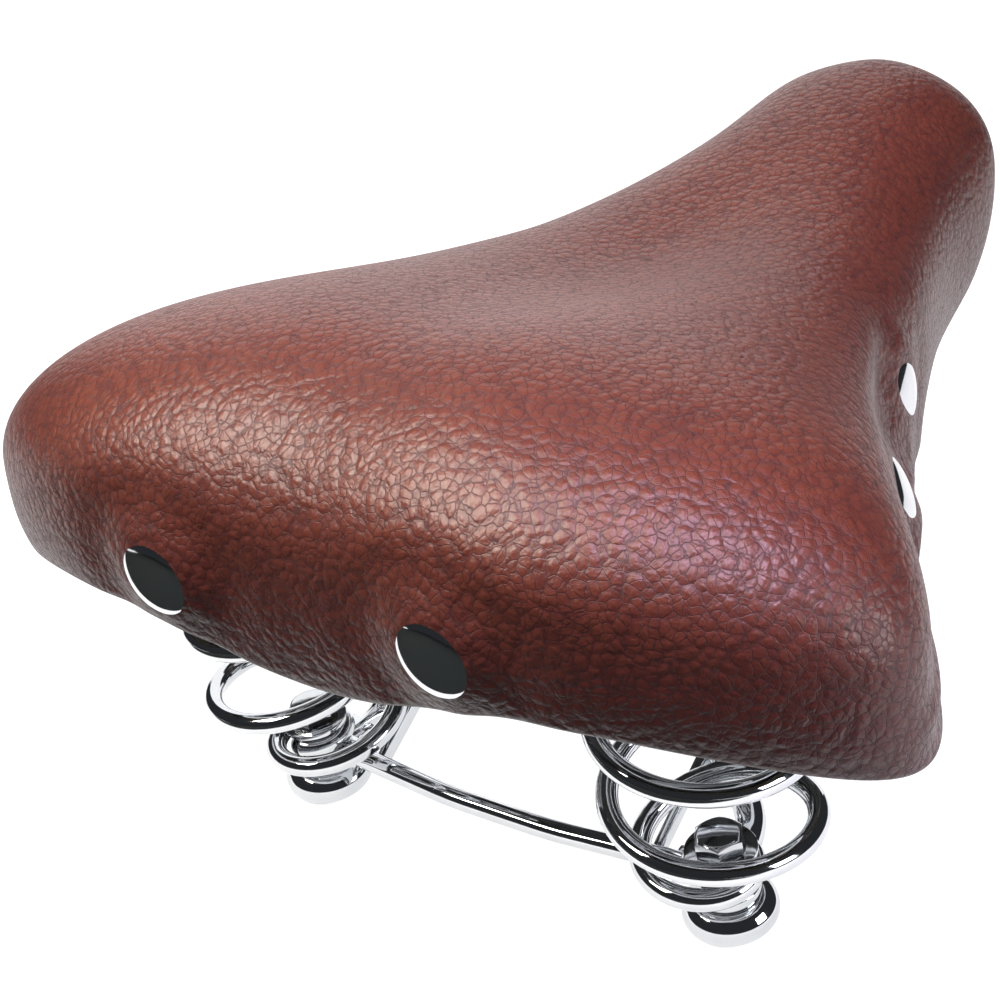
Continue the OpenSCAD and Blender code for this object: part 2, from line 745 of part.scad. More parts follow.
// ---- seat-post clamp ----
// Across the saddle at the clamp bolt: children are drawn along +Z, turned to point along +Y
module at_bolt() {
    translate([bolt_x, 0, bore_z]) rotate([-90, 0, 0]) children();
}
module clamp_band() {
    outer_r = post_bore_d / 2 + band_wall;
    color("silver") place() difference() {
        union() {
            translate([bore_x, 0, bore_z - band_h / 2]) cylinder(h = band_h, r = outer_r);
            at_bolt() translate([0, 0, -ear_y]) cylinder(h = 2 * ear_y, r = ear_r);
            translate([bolt_x, -ear_y, bore_z - ear_r])
                cube([bore_x - bolt_x - 8, 2 * ear_y, 2 * ear_r]);
        }
        translate([bore_x, 0, bore_z - band_h]) cylinder(h = 2 * band_h, d = post_bore_d);
        translate([bolt_x - 12, -slit_w / 2, bore_z - band_h])
            cube([bore_x - bolt_x + 10, slit_w, 2 * band_h]);
        at_bolt() translate([0, 0, -20]) cylinder(h = 40, r = clamp_bolt_r + 0.06);
    }
}
module clamp_spacers() {
    color("gray") place() for (side = [1, -1])
        at_bolt() translate([0, 0, side > 0 ? ear_y + 0.2 : -inner_plate_y + 0.05]) difference() {
            cylinder(h = inner_plate_y - ear_y - 0.25, r = spacer_r);
            translate([0, 0, -1]) cylinder(h = 12, r = clamp_bolt_r + shank_gap);
        }
}
// Plate between y0 and y1 beside the bolt, grooved for the rail
module rail_plate(side, y0, y1, foot) {
    color("silver") place() mirror([0, side < 0 ? 1 : 0, 0]) difference() {
        union() {
            translate([bolt_x - plate_len / 2, y0, rail_z - plate_half_h])
                cube([plate_len, y1 - y0, 2 * plate_half_h]);
            at_bolt() translate([0, 0, y0]) cylinder(h = y1 - y0, r = foot);
            translate([bolt_x - foot, y0, bore_z]) cube([2 * foot, y1 - y0, plate_half_h]);
        }
        translate([bolt_x - plate_len, rail_y, rail_z]) rotate([0, 90, 0])
            cylinder(h = 2 * plate_len, r = groove_r);
        at_bolt() cylinder(h = 60, r = clamp_bolt_r + shank_gap);
    }
}
module inner_plate_left() {
    rail_plate(1, inner_plate_y, rail_y - plate_gap, inner_foot_r);
}
module inner_plate_right() {
    rail_plate(-1, inner_plate_y, rail_y - plate_gap, inner_foot_r);
}
module outer_plate_left() {
    rail_plate(1, rail_y + plate_gap, rail_y + plate_gap + outer_plate_t, outer_foot_r);
}
module outer_plate_right() {
    rail_plate(-1, rail_y + plate_gap, rail_y + plate_gap + outer_plate_t, outer_foot_r);
}
module clamp_bolt() {
    color("silver") place() at_bolt() {
        translate([0, 0, -head_y - clamp_head_h]) hexagon(clamp_hex_r, clamp_head_h);
        translate([0, 0, -head_y - 1]) cylinder(h = 2 * head_y + 9, r = clamp_bolt_r);
    }
}
module clamp_washers() {
    color("lightgray") place() for (y = [washer_y, -washer_y - clamp_washer_t])
        at_bolt() translate([0, 0, y]) difference() {
            cylinder(h = clamp_washer_t, r = clamp_washer_r);
            translate([0, 0, -1]) cylinder(h = clamp_washer_t + 2, r = clamp_bolt_r + shank_gap);
        }
}
module clamp_nut() {
    color("silver") place() at_bolt() translate([0, 0, head_y]) difference() {
        hexagon(clamp_hex_r, clamp_nut_h);
        translate([0, 0, -1]) cylinder(h = clamp_nut_h + 2, r = clamp_bolt_r + 0.05);
    }
}

cover();
foam_pad();
side_padding();
base_shell();
rear_rivets();
side_rivets();
rivet_washers();
nose_plate();
nose_clip();
nose_screws();
nose_nuts();
spring_strap_left();
spring_strap_right();
strap_bolts();
strap_nuts();
spring_left();
spring_right();
seat_rails();
cross_bar();
rail_braces();
foot_bolts();
foot_washers();
foot_nuts();
spring_cup_left();
spring_cup_right();
clamp_band();
clamp_spacers();
inner_plate_left();
inner_plate_right();
outer_plate_left();
outer_plate_right();
clamp_bolt();
clamp_washers();
clamp_nut();
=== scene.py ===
"""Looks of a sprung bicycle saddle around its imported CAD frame."""
import json
import math

import bmesh
import bpy
import numpy as np
from mathutils import Matrix, Vector


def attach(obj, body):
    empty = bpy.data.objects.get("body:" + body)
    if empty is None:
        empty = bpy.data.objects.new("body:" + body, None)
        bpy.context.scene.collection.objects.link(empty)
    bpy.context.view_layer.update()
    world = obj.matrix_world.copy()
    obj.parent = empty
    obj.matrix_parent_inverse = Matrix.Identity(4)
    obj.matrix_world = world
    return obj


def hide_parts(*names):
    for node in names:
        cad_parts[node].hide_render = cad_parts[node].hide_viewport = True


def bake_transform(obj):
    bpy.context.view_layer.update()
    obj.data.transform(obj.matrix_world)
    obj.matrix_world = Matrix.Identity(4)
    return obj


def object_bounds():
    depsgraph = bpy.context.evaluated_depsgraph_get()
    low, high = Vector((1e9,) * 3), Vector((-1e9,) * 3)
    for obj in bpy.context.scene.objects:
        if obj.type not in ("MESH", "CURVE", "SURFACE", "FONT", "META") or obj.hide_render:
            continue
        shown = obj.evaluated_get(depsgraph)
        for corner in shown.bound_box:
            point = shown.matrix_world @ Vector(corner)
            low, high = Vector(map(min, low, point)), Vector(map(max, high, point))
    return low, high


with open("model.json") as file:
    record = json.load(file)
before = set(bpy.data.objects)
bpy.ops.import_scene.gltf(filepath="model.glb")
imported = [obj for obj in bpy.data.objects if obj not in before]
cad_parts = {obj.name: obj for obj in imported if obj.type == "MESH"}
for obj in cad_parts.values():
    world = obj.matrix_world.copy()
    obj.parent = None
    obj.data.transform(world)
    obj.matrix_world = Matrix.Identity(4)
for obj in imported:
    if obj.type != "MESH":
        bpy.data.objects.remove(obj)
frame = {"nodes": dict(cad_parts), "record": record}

cad_low, cad_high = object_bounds()
MM = 0.001
BODY_OF = {n: b for b, ns in frame["record"]["behaviour"]["bodies"].items() for n in ns}

# ---------------------------------------------------------------- driving dimensions, millimetres
# Shapes are drawn from the rear middle of the cover's lower edge (+X forward, +Y left, +Z up)
# and moved so that the centre of the seat-post bore is the origin, as in the CAD source.
BORE = Vector((144, 0, -32))
# Lower edge of the cover, rear middle to nose, as control points of a closed smooth curve:
# x, y, edge height, straight skirt height, fullness of the shoulder, inward tuck of the edge
HALF_EDGE = [
    [4, 0, -8.5, 32, 2.9, 5],
    [-8.5, 53.5, 17, 25, 2.4, 2],
    [29, 132, -6, 18, 2, 0],
    [69.5, 94.5, -1.5, 23.5, 2.3, -8.5],
    [131.5, 53.5, 15, 26.5, 2.4, -16],
    [149, 60, -4.5, 26, 2.4, 0.5],
    [214.5, 33, 0, 26.5, 2.3, 4.5],
    [253, 37.5, 15.5, 25, 2.3, 4],
    [276.5, 0, 7.5, 23, 2.2, 7.5],
]
EDGE = np.array(HALF_EDGE + [[r[0], -r[1], *r[2:]] for r in HALF_EDGE[7:0:-1]])
CROWN = [19, 70.5, 65, 47.5, 61, 73.5, 53]
CROWN_SPAN = 269
SPINE_REAR, SPINE_FRONT = 54, 231
DISH_X, DISH_HALF_W, DISH_HALF_L, DISH_DEPTH = 110, 22, 70, 4.5
COVER_T = 2.0
FLANGE_INSET = 9.0
SHELL_T = 3.0
RIVETS = {"rear_rivets": [(0.65, 21)], "side_rivets": [(3.61, 17), (4.6, 21.2)]}
RIVET_R = 9.25
BACKING_R, BACKING_T, BOSS_MIN = 5.5, 1.0, 0.8
# Centre of the left spring cup's rim, and the backward lean of the spring feet
FOOT = Vector((61.3, 57, -67.8))
FOOT_LEAN = math.radians(9)
RAIL_D, RAIL_Z, RAIL_Y, RAIL_BEND = 7.0, -22, 22, 9
HINGE = Vector((229, 0, 19.5))
BAR_D, BAR_BEND, BAR_MIDDLE = 5.0, 100, (56, 14)
WIRE_D, COIL_R, EYE_R = 5.0, 21.6, 6.7
# Underside of the base shell's plate
PLATE_Z = 26.0
# Heights over which painted shade darkens and reddens the hide towards the hem, metres
HEM_SHADE_FULL_Z, HEM_SHADE_END_Z = 0.030, 0.082


def place(p):
    """A point in millimetres from the rear of the cover, in metres from the seat-post bore."""
    return (Vector(p) - BORE) * MM


def clamp01(t):
    return min(1.0, max(0.0, t))


# ---------------------------------------------------------------- mesh helpers
def link(name, mesh):
    piece = bpy.data.objects.new(name, mesh)
    bpy.context.scene.collection.objects.link(piece)
    return piece


def from_faces(name, points, faces, smooth=True):
    mesh = bpy.data.meshes.new(name)
    mesh.from_pydata([tuple(p) for p in points], [], faces)
    if smooth:
        mesh.polygons.foreach_set("use_smooth", [True] * len(mesh.polygons))
    mesh.update()
    return link(name, mesh)


def apply_modifiers(piece):
    """Makes the piece's evaluated mesh its own and drops the modifiers."""
    graph = bpy.context.evaluated_depsgraph_get()
    mesh = bpy.data.meshes.new_from_object(piece.evaluated_get(graph))
    old = piece.data
    piece.modifiers.clear()
    piece.data = mesh
    bpy.data.meshes.remove(old)
    return piece


def joined(name, pieces):
    """One object that holds the meshes of several."""
    out = bmesh.new()
    for p in pieces:
        p.data.transform(p.matrix_world)
        out.from_mesh(p.data)
    mesh = bpy.data.meshes.new(name)
    out.to_mesh(mesh)
    out.free()
    for m in pieces[0].data.materials:
        mesh.materials.append(m)
    for p in pieces:
        bpy.data.objects.remove(p)
    return link(name, mesh)


def finish_piece(piece, body, material, stands_for=()):
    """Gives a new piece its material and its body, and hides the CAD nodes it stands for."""
    if material and not piece.data.materials:
        piece.data.materials.append(material)
    if body:
        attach(piece, body)
    if stands_for:
        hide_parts(*stands_for)
    return piece


def ring_faces(rows, count, closed_rows=False):
    faces = []
    last = rows if closed_rows else rows - 1
    for k in range(last):
        for i in range(count):
            a, b = k * count + i, k * count + (i + 1) % count
            c, d = ((k + 1) % rows) * count + (i + 1) % count, ((k + 1) % rows) * count + i
            faces.append((a, b, c, d))
    return faces


def lathe(name, profile, matrix, sides=96):
    """Turned shape: profile is a list of (radius, height) in millimetres, closed if it ends off axis."""
    on_axis = profile[0][0] < 1e-6
    rows = profile[1:-1] if on_axis else profile
    points = [
        matrix @ Vector((r * math.cos(a) * MM, r * math.sin(a) * MM, z * MM))
        for r, z in rows
        for a in (2 * math.pi * i / sides for i in range(sides))
    ]
    faces = ring_faces(len(rows), sides, closed_rows=not on_axis)
    if on_axis:
        for end, row, flip in ((profile[0], 0, True), (profile[-1], len(rows) - 1, False)):
            points.append(matrix @ Vector((0, 0, end[1] * MM)))
            for i in range(sides):
                a, b = row * sides + i, row * sides + (i + 1) % sides
                faces.append((b, a, len(points) - 1) if flip else (a, b, len(points) - 1))
    piece = from_faces(name, points, faces)
    outward(piece)
    return piece


def outward(piece):
    """Turns every face's normal outward."""
    work = bmesh.new()
    work.from_mesh(piece.data)
    bmesh.ops.recalc_face_normals(work, faces=work.faces)
    work.to_mesh(piece.data)
    work.free()


def rounded(points, radius, steps=5):
    """The corners of a closed profile of (x, y) points, each rounded by a small quadratic curve."""
    out = []
    count = len(points)
    for i in range(count):
        p = Vector(points[i])
        before, after = Vector(points[i - 1]), Vector(points[(i + 1) % count])
        a = p + (before - p).normalized() * min(radius, (before - p).length * 0.45)
        b = p + (after - p).normalized() * min(radius, (after - p).length * 0.45)
        for k in range(steps + 1):
            t = k / steps
            q = a * (1 - t) ** 2 + p * 2 * t * (1 - t) + b * t * t
            out.append((q.x, q.y))
    return out


def sweep(name, path, radius, sides=24, width=None, flat=None, up=None):
    """Round wire along path, in metres, with eased ends. width(t) and flat(t), t from 0 to 1 along it,
    scale it across and through. up fixes the direction that flat acts along."""
    count = len(path)
    path = [Vector(p) for p in path]
    tangents = [(path[min(i + 1, count - 1)] - path[max(i - 1, 0)]).normalized() for i in range(count)]
    normal = Vector(up) if up else tangents[0].orthogonal()
    points = []
    lengths = [0.0]
    for i in range(1, count):
        lengths.append(lengths[-1] + (path[i] - path[i - 1]).length)
    cap = 6
    stations = [(path[i], tangents[i], lengths[i] / lengths[-1], 1.0) for i in range(count)]
    first, last = stations[0], stations[-1]
    head = [
        (first[0] - first[1] * radius * 0.35 * math.sin(a), first[1], 0.0, 0.62 + 0.38 * math.cos(a))
        for a in (math.pi / 2 * (1 - k / cap) for k in range(cap))
    ]
    tail = [
        (last[0] + last[1] * radius * 0.35 * math.sin(a), last[1], 1.0, 0.62 + 0.38 * math.cos(a))
        for a in (math.pi / 2 * (k + 1) / cap for k in range(cap))
    ]
    stations = head + stations + tail
    for centre, tangent, t, scale in stations:
        if up:
            normal = Vector(up)
        normal = (normal - tangent * normal.dot(tangent)).normalized()
        side = tangent.cross(normal)
        w = scale * (width(t) if width else 1.0)
        f = scale * (flat(t) if flat else 1.0)
        for j in range(sides):
            a = 2 * math.pi * j / sides
            points.append(centre + radius * (w * math.cos(a) * side + f * math.sin(a) * normal))
    rows = len(stations)
    faces = ring_faces(rows, sides)
    faces.append(tuple(reversed(range(sides))))
    faces.append(tuple((rows - 1) * sides + j for j in range(sides)))
    piece = from_faces(name, points, faces)
    outward(piece)
    return piece


def bent(points, bend, step=1.2):
    """Dense points along straight lengths joined by arcs of radius bend, all in millimetres."""
    points = [Vector(p) for p in points]
    out = [points[0]]
    for i in range(1, len(points) - 1):
        d1 = (points[i] - points[i - 1]).normalized()
        d2 = (points[i + 1] - points[i]).normalized()
        turn = d1.angle(d2)
        trim = bend * math.tan(turn / 2)
        centre = points[i] + (d2 - d1).normalized() * bend / math.cos(turn / 2)
        start = points[i] - d1 * trim
        spoke = start - centre
        axis = spoke.normalized().cross(d1)
        steps = max(4, math.ceil(bend * turn / step))
        out += [centre + Matrix.Rotation(turn * k / steps, 3, axis) @ spoke for k in range(steps + 1)]
    out.append(points[-1])
    dense = [out[0]]
    for a, b in zip(out, out[1:]):
        pieces = max(1, math.ceil((b - a).length / (3 * step)))
        dense += [a + (b - a) * (k + 1) / pieces for k in range(pieces)]
    return dense


# ---------------------------------------------------------------- the padded form
def weights(t):
    return np.array([
        (1 - t) ** 3 / 6,
        (3 * t ** 3 - 6 * t ** 2 + 4) / 6,
        (-3 * t ** 3 + 3 * t ** 2 + 3 * t + 1) / 6,
        t ** 3 / 6,
    ])


def loop_curve(u):
    """x, y, edge height, skirt height, fullness and tuck at edge unit u (an array)."""
    u = np.asarray(u, float)
    i = np.floor(u).astype(int)
    w = weights(u - i)
    n = len(EDGE)
    return sum(w[k][..., None] * EDGE[(i + k - 1) % n] for k in range(4))


def crown(x):
    """Height of the crown line at x."""
    last = len(CROWN) - 3
    q = np.clip(x / CROWN_SPAN, 0, 1) * last
    q = np.minimum(q, last - 0.001)
    i = np.floor(q).astype(int)
    w = weights(q - i)
    c = np.array(CROWN, float)
    return sum(w[k] * c[i + k] for k in range(4))


def spine(x):
    """Where on the crown line the column that starts at x ends."""
    return SPINE_REAR + (SPINE_FRONT - SPINE_REAR) * np.maximum(x, 0) / CROWN_SPAN


def skin(u, skirt, angle, inset=0.0):
    """Points of the padded form: u along the edge, skirt 0 to 1 up the straight side,
    angle 0 to 90 degrees over the dome. Works on arrays; the last axis is x, y, z in millimetres."""
    u, skirt, angle = np.broadcast_arrays(np.asarray(u, float), skirt, np.radians(angle))
    e = loop_curve(u)
    sx = spine(e[..., 0])
    dx, dy = e[..., 0] - sx, e[..., 1]
    reach = np.hypot(dx, dy)
    dx, dy = dx / reach, dy / reach
    n = e[..., 4]
    co, si = np.cos(angle), np.sin(angle)
    co = np.where(co < 1e-9, 0, co)
    d = (np.power(co, n) + np.power(si, n)) ** (1 / n)
    share, lift = co / d, si / d
    radius = (reach - inset) * share - e[..., 5] * (1 - skirt) ** 2
    x = sx + dx * radius
    y = dy * radius
    shoulder = e[..., 2] + e[..., 3]
    groove = DISH_DEPTH * np.exp(-((y / DISH_HALF_W) ** 2) - ((x - DISH_X) / DISH_HALF_L) ** 2)
    z = np.where(
        angle > 0,
        shoulder + (crown(x) - inset - shoulder - groove) * lift,
        e[..., 2] + e[..., 3] * skirt,
    )
    return np.stack([x, y, z], -1)


def skirt_outward(u):
    """Level unit vectors that point away from the spine at edge unit u."""
    e = loop_curve(u)
    away = np.stack([e[..., 0] - spine(e[..., 0]), e[..., 1], 0 * e[..., 0]], -1)
    return away / np.linalg.norm(away, axis=-1, keepdims=True)


def rivet_frames(name):
    """(centre, outward normal) in millimetres of each rivet head of a node, left then right."""
    found = []
    for side in (1, -1):
        for u, z in RIVETS[name]:
            e = loop_curve(u)
            s = (z - e[2]) / e[3]
            p = skin(u, s, 0)
            up = skin(u, s + 0.08, 0) - p
            along = skin(u + 0.02, s, 0) - p
            n = np.cross(up, along)
            n = n / np.linalg.norm(n)
            flip = np.array([1, side, 1])
            found.append((p * flip, n * flip))
    return found


ALL_RIVETS = rivet_frames("rear_rivets") + rivet_frames("side_rivets")


# ---------------------------------------------------------------- materials
class Nodes:
    """Short calls for building a node material."""

    def __init__(self, name):
        self.material = bpy.data.materials.new(name)
        self.material.use_nodes = True
        self.tree = self.material.node_tree
        self.shader = self.tree.nodes["Principled BSDF"]
        self.point = self.add("ShaderNodeTexCoord").outputs["Object"]

    def add(self, kind, **settings):
        node = self.tree.nodes.new(kind)
        for key, value in settings.items():
            setattr(node, key, value)
        return node

    def link(self, a, b):
        self.tree.links.new(a, b)
        return b.node

    def set(self, **values):
        for key, value in values.items():
            self.shader.inputs[key.replace("_", " ")].default_value = value

    def noise(self, scale, detail=4, roughness=0.55, vector=None, distortion=0.0):
        node = self.add("ShaderNodeTexNoise")
        node.inputs["Scale"].default_value = scale
        node.inputs["Detail"].default_value = detail
        node.inputs["Roughness"].default_value = roughness
        node.inputs["Distortion"].default_value = distortion
        self.link(vector or self.point, node.inputs["Vector"])
        return node

    def ramp(self, source, stops):
        node = self.add("ShaderNodeValToRGB")
        elements = node.color_ramp.elements
        while len(elements) < len(stops):
            elements.new(0.5)
        for element, (place_at, colour) in zip(elements, stops):
            element.position = place_at
            element.color = (*colour, 1) if len(colour) == 3 else colour
        self.link(source, node.inputs["Fac"])
        return node.outputs["Color"]

    def remap(self, source, low, high, to_low, to_high, smooth=False):
        node = self.add("ShaderNodeMapRange", interpolation_type="SMOOTHSTEP" if smooth else "LINEAR")
        for key, value in (("From Min", low), ("From Max", high), ("To Min", to_low), ("To Max", to_high)):
            node.inputs[key].default_value = value
        self.link(source, node.inputs["Value"])
        return node.outputs["Result"]

    def voronoi_pillow(self, scale, smoothness, vector):
        """Rounded cells: 1 at the middle of each, falling off as a parabola to its edge."""
        node = self.add("ShaderNodeTexVoronoi", feature="SMOOTH_F1")
        node.inputs["Scale"].default_value = scale
        node.inputs["Smoothness"].default_value = smoothness
        self.link(vector, node.inputs["Vector"])
        d = self.remap(node.outputs["Distance"], 0.0, 0.62, 0.0, 1.0)
        return self.math("SUBTRACT", 1.0, self.math("MULTIPLY", d, d))

    def math(self, operation, a, b):
        node = self.add("ShaderNodeMath", operation=operation)
        for source, socket in ((a, node.inputs[0]), (b, node.inputs[1])):
            if isinstance(source, (int, float)):
                socket.default_value = source
            else:
                self.link(source, socket)
        return node.outputs[0]

    def mix(self, fac, a, b, blend="MIX"):
        node = self.add("ShaderNodeMix", data_type="RGBA", blend_type=blend)
        for source, socket in ((fac, node.inputs[0]), (a, node.inputs[6]), (b, node.inputs[7])):
            if isinstance(source, (int, float)):
                socket.default_value = source
            elif isinstance(source, tuple):
                socket.default_value = (*source, 1)
            else:
                self.link(source, socket)
        return node.outputs[2]

    def bump(self, height, strength, distance, after=None):
        node = self.add("ShaderNodeBump")
        node.inputs["Strength"].default_value = strength
        node.inputs["Distance"].default_value = distance
        self.link(height, node.inputs["Height"])
        if after:
            self.link(after, node.inputs["Normal"])
        return node.outputs["Normal"]


GRAIN = 470


def leather_material():
    """Reddish brown pebbled hide: plump cells about 2 mm across, dark creases, soft gloss on the tops
    and painted shade that darkens and reddens the skirt towards the hem."""
    n = Nodes("cover_leather")
    warp = n.noise(150, detail=3)
    shift = n.add("ShaderNodeVectorMath", operation="MULTIPLY_ADD")
    n.link(warp.outputs["Color"], shift.inputs[0])
    shift.inputs[1].default_value = (0.0034,) * 3
    n.link(n.point, shift.inputs[2])
    edge = n.add("ShaderNodeTexVoronoi", feature="DISTANCE_TO_EDGE")
    edge.inputs["Scale"].default_value = GRAIN
    n.link(shift.outputs[0], edge.inputs["Vector"])
    crease = n.remap(edge.outputs["Distance"], 0.0, 0.085, 1.0, 0.0, smooth=True)
    speckle = n.noise(2600, detail=3, roughness=0.7)
    pillow = n.voronoi_pillow(GRAIN, 0.9, shift.outputs[0])
    knuckle = n.voronoi_pillow(GRAIN * 2.1, 0.7, shift.outputs[0])
    fine = n.noise(1500, detail=4, roughness=0.6)
    broad = n.noise(16, detail=3)
    patch = n.noise(70, detail=4)
    mottle = n.noise(420, detail=5, roughness=0.65)
    body = n.ramp(broad.outputs["Fac"], [(0.30, (0.098, 0.023, 0.014)), (0.70, (0.134, 0.033, 0.018))])
    body = n.mix(n.remap(patch.outputs["Fac"], 0.35, 0.7, 0, 0.30), body, (0.165, 0.044, 0.022))
    body = n.mix(n.remap(mottle.outputs["Fac"], 0.42, 0.68, 0.0, 0.30), body, (0.10, 0.020, 0.018))
    axes = n.add("ShaderNodeSeparateXYZ")
    n.link(n.point, axes.inputs[0])
    # Painted shade: the hide's colour is darkened and reddened low on the skirt, by height, where less light falls
    low = n.remap(axes.outputs["Z"], HEM_SHADE_FULL_Z, HEM_SHADE_END_Z, 0.80, 0.0)
    body = n.mix(low, body, (0.055, 0.009, 0.013))
    body = n.mix(n.math("MULTIPLY", crease, 0.72), body, (0.022, 0.005, 0.006))
    body = n.mix(n.remap(pillow, 0.2, 0.75, 0.34, 0.0), body, (0.045, 0.009, 0.010))
    n.link(body, n.shader.inputs["Base Color"])
    gloss = n.remap(fine.outputs["Fac"], 0.3, 0.7, 0.33, 0.43)
    gloss = n.math("ADD", gloss, n.math("MULTIPLY", crease, 0.16))
    n.link(gloss, n.shader.inputs["Roughness"])
    height = n.math("ADD", pillow, n.math("MULTIPLY", knuckle, 0.28))
    height = n.math("ADD", height, n.math("MULTIPLY", crease, -0.22))
    height = n.math("ADD", height, n.remap(fine.outputs["Fac"], 0.0, 1.0, 0.0, 0.42))
    height = n.math("ADD", height, n.remap(speckle.outputs["Fac"], 0.0, 1.0, 0.0, 0.14))
    n.link(n.bump(height, 0.55, 0.00034), n.shader.inputs["Normal"])
    n.set(Specular_IOR_Level=0.50)
    return n.material


def chrome_material():
    """Polished plate with faint ripples and haze."""
    tint, rough = (0.70, 0.715, 0.74), 0.035
    n = Nodes("chrome")
    haze = n.noise(140, detail=5)
    ripple = n.noise(260, detail=2)
    colour = n.ramp(haze.outputs["Fac"], [(0.3, tint), (0.75, tuple(c * 0.93 for c in tint))])
    n.link(colour, n.shader.inputs["Base Color"])
    n.link(n.remap(haze.outputs["Fac"], 0.3, 0.75, rough, rough + 0.07), n.shader.inputs["Roughness"])
    n.link(n.bump(ripple.outputs["Fac"], 0.10, 0.00012), n.shader.inputs["Normal"])
    n.set(Metallic=1.0)
    return n.material


def zinc_material():
    """Dull plated steel: cloudy patches, fine scratches."""
    n = Nodes("zinc_steel")
    cloud = n.noise(90, detail=6)
    stretch = n.add("ShaderNodeMapping")
    stretch.inputs["Scale"].default_value = (1.0, 14.0, 3.0)
    n.link(n.point, stretch.inputs["Vector"])
    lines = n.noise(500, detail=3, vector=stretch.outputs["Vector"])
    colour = n.ramp(cloud.outputs["Fac"], [(0.3, (0.36, 0.37, 0.38)), (0.7, (0.53, 0.54, 0.55))])
    n.link(colour, n.shader.inputs["Base Color"])
    rough = n.math("ADD", n.remap(cloud.outputs["Fac"], 0.3, 0.7, 0.26, 0.42),
                   n.remap(lines.outputs["Fac"], 0.3, 0.7, 0.0, 0.08))
    n.link(rough, n.shader.inputs["Roughness"])
    n.link(n.bump(lines.outputs["Fac"], 0.25, 0.00008), n.shader.inputs["Normal"])
    n.set(Metallic=1.0)
    return n.material


def plastic_material():
    """Black moulded polypropylene with a spark-eroded texture and pale scuffs."""
    n = Nodes("shell_plastic")
    grain = n.noise(1700, detail=3)
    scuff = n.noise(120, detail=7, roughness=0.7)
    colour = n.ramp(scuff.outputs["Fac"], [(0.55, (0.018, 0.018, 0.019)), (0.78, (0.07, 0.07, 0.072))])
    n.link(colour, n.shader.inputs["Base Color"])
    n.link(n.remap(grain.outputs["Fac"], 0.3, 0.7, 0.42, 0.6), n.shader.inputs["Roughness"])
    n.link(n.bump(grain.outputs["Fac"], 0.35, 0.00012), n.shader.inputs["Normal"])
    return n.material


def foam_material():
    """Open-cell moulded foam, slightly yellowed."""
    n = Nodes("foam")
    cells = n.add("ShaderNodeTexVoronoi", feature="F1")
    cells.inputs["Scale"].default_value = 900
    n.link(n.point, cells.inputs["Vector"])
    age = n.noise(30, detail=3)
    colour = n.ramp(age.outputs["Fac"], [(0.3, (0.34, 0.27, 0.16)), (0.7, (0.46, 0.39, 0.25))])
    colour = n.mix(n.remap(cells.outputs["Distance"], 0.0, 0.6, 0.0, 0.5), colour, (0.16, 0.12, 0.07))
    n.link(colour, n.shader.inputs["Base Color"])
    n.link(n.remap(cells.outputs["Distance"], 0.0, 0.6, 0.85, 0.98), n.shader.inputs["Roughness"])
    n.link(n.bump(cells.outputs["Distance"], 0.8, 0.0004), n.shader.inputs["Normal"])
    n.set(Sheen_Weight=0.2)
    return n.material


def backing_material():
    """Woven fabric laminated to the inside of the cover."""
    n = Nodes("cover_backing")
    waves = []
    for axis in ("X", "Z"):
        wave = n.add("ShaderNodeTexWave", bands_direction=axis)
        wave.inputs["Scale"].default_value = 330
        wave.inputs["Distortion"].default_value = 0.6
        n.link(n.point, wave.inputs["Vector"])
        waves.append(wave.outputs["Fac"])
    weave = n.math("MULTIPLY", waves[0], waves[1])
    fuzz = n.noise(800, detail=4)
    colour = n.ramp(weave, [(0.0, (0.055, 0.035, 0.028)), (1.0, (0.17, 0.12, 0.10))])
    n.link(colour, n.shader.inputs["Base Color"])
    n.link(n.remap(fuzz.outputs["Fac"], 0.3, 0.7, 0.8, 0.95), n.shader.inputs["Roughness"])
    n.link(n.bump(weave, 0.6, 0.0003), n.shader.inputs["Normal"])
    n.set(Sheen_Weight=0.3)
    return n.material


LEATHER = leather_material()
CHROME = chrome_material()
ZINC = zinc_material()
PLASTIC = plastic_material()
FOAM = foam_material()
BACKING = backing_material()


# ---------------------------------------------------------------- cover
COLUMNS, SKIRT_ROWS, DOME_ROWS = 288, 12, 44
# Metres from the crown line within which the hide is smoothed
CROWN_RELAX = 0.009
CLOTH_FRAMES, CLOTH_CAP = 20, 1.6
# Millimetres that the hem rolls inward, and how much more at the rear corners
HEM_ROLL, CORNER_ROLL = 0.8, 2.4
# The fold: from and to in edge units, its height on the skirt at each end, and its depth
FOLD_FROM, FOLD_TO, FOLD_LOW, FOLD_HIGH, FOLD_DEPTH = 2.15, 3.5, 0.42, 0.80, 1.5


def cover_grid():
    """Rows of points from the lower edge up to the crown line, as one array. The hem rolls inward
    a little, most at the rear corners."""
    u = len(EDGE) * np.arange(COLUMNS) / COLUMNS
    skirt = np.arange(SKIRT_ROWS) / SKIRT_ROWS
    dome = 90 * (np.arange(DOME_ROWS + 1) / DOME_ROWS) ** 0.93
    corner = sum(np.exp(-((u - c) / 0.75) ** 2) for c in (1.75, len(EDGE) - 1.75))
    roll = [(HEM_ROLL + CORNER_ROLL * corner) * (1 - s) ** 3 for s in skirt]
    rows = [skin(u, s, 0) - r[:, None] * skirt_outward(u) for s, r in zip(skirt, roll)]
    rows += [skin(u, 1.0, a) for a in dome]
    return np.array(rows)


def row_normals(grid):
    """Unit normals of a grid of rows, pointing outward."""
    along = np.roll(grid, -1, 1) - np.roll(grid, 1, 1)
    up = np.gradient(grid, axis=0)
    n = np.cross(along, up)
    size = np.linalg.norm(n, axis=-1, keepdims=True)
    return n / np.maximum(size, 1e-9)


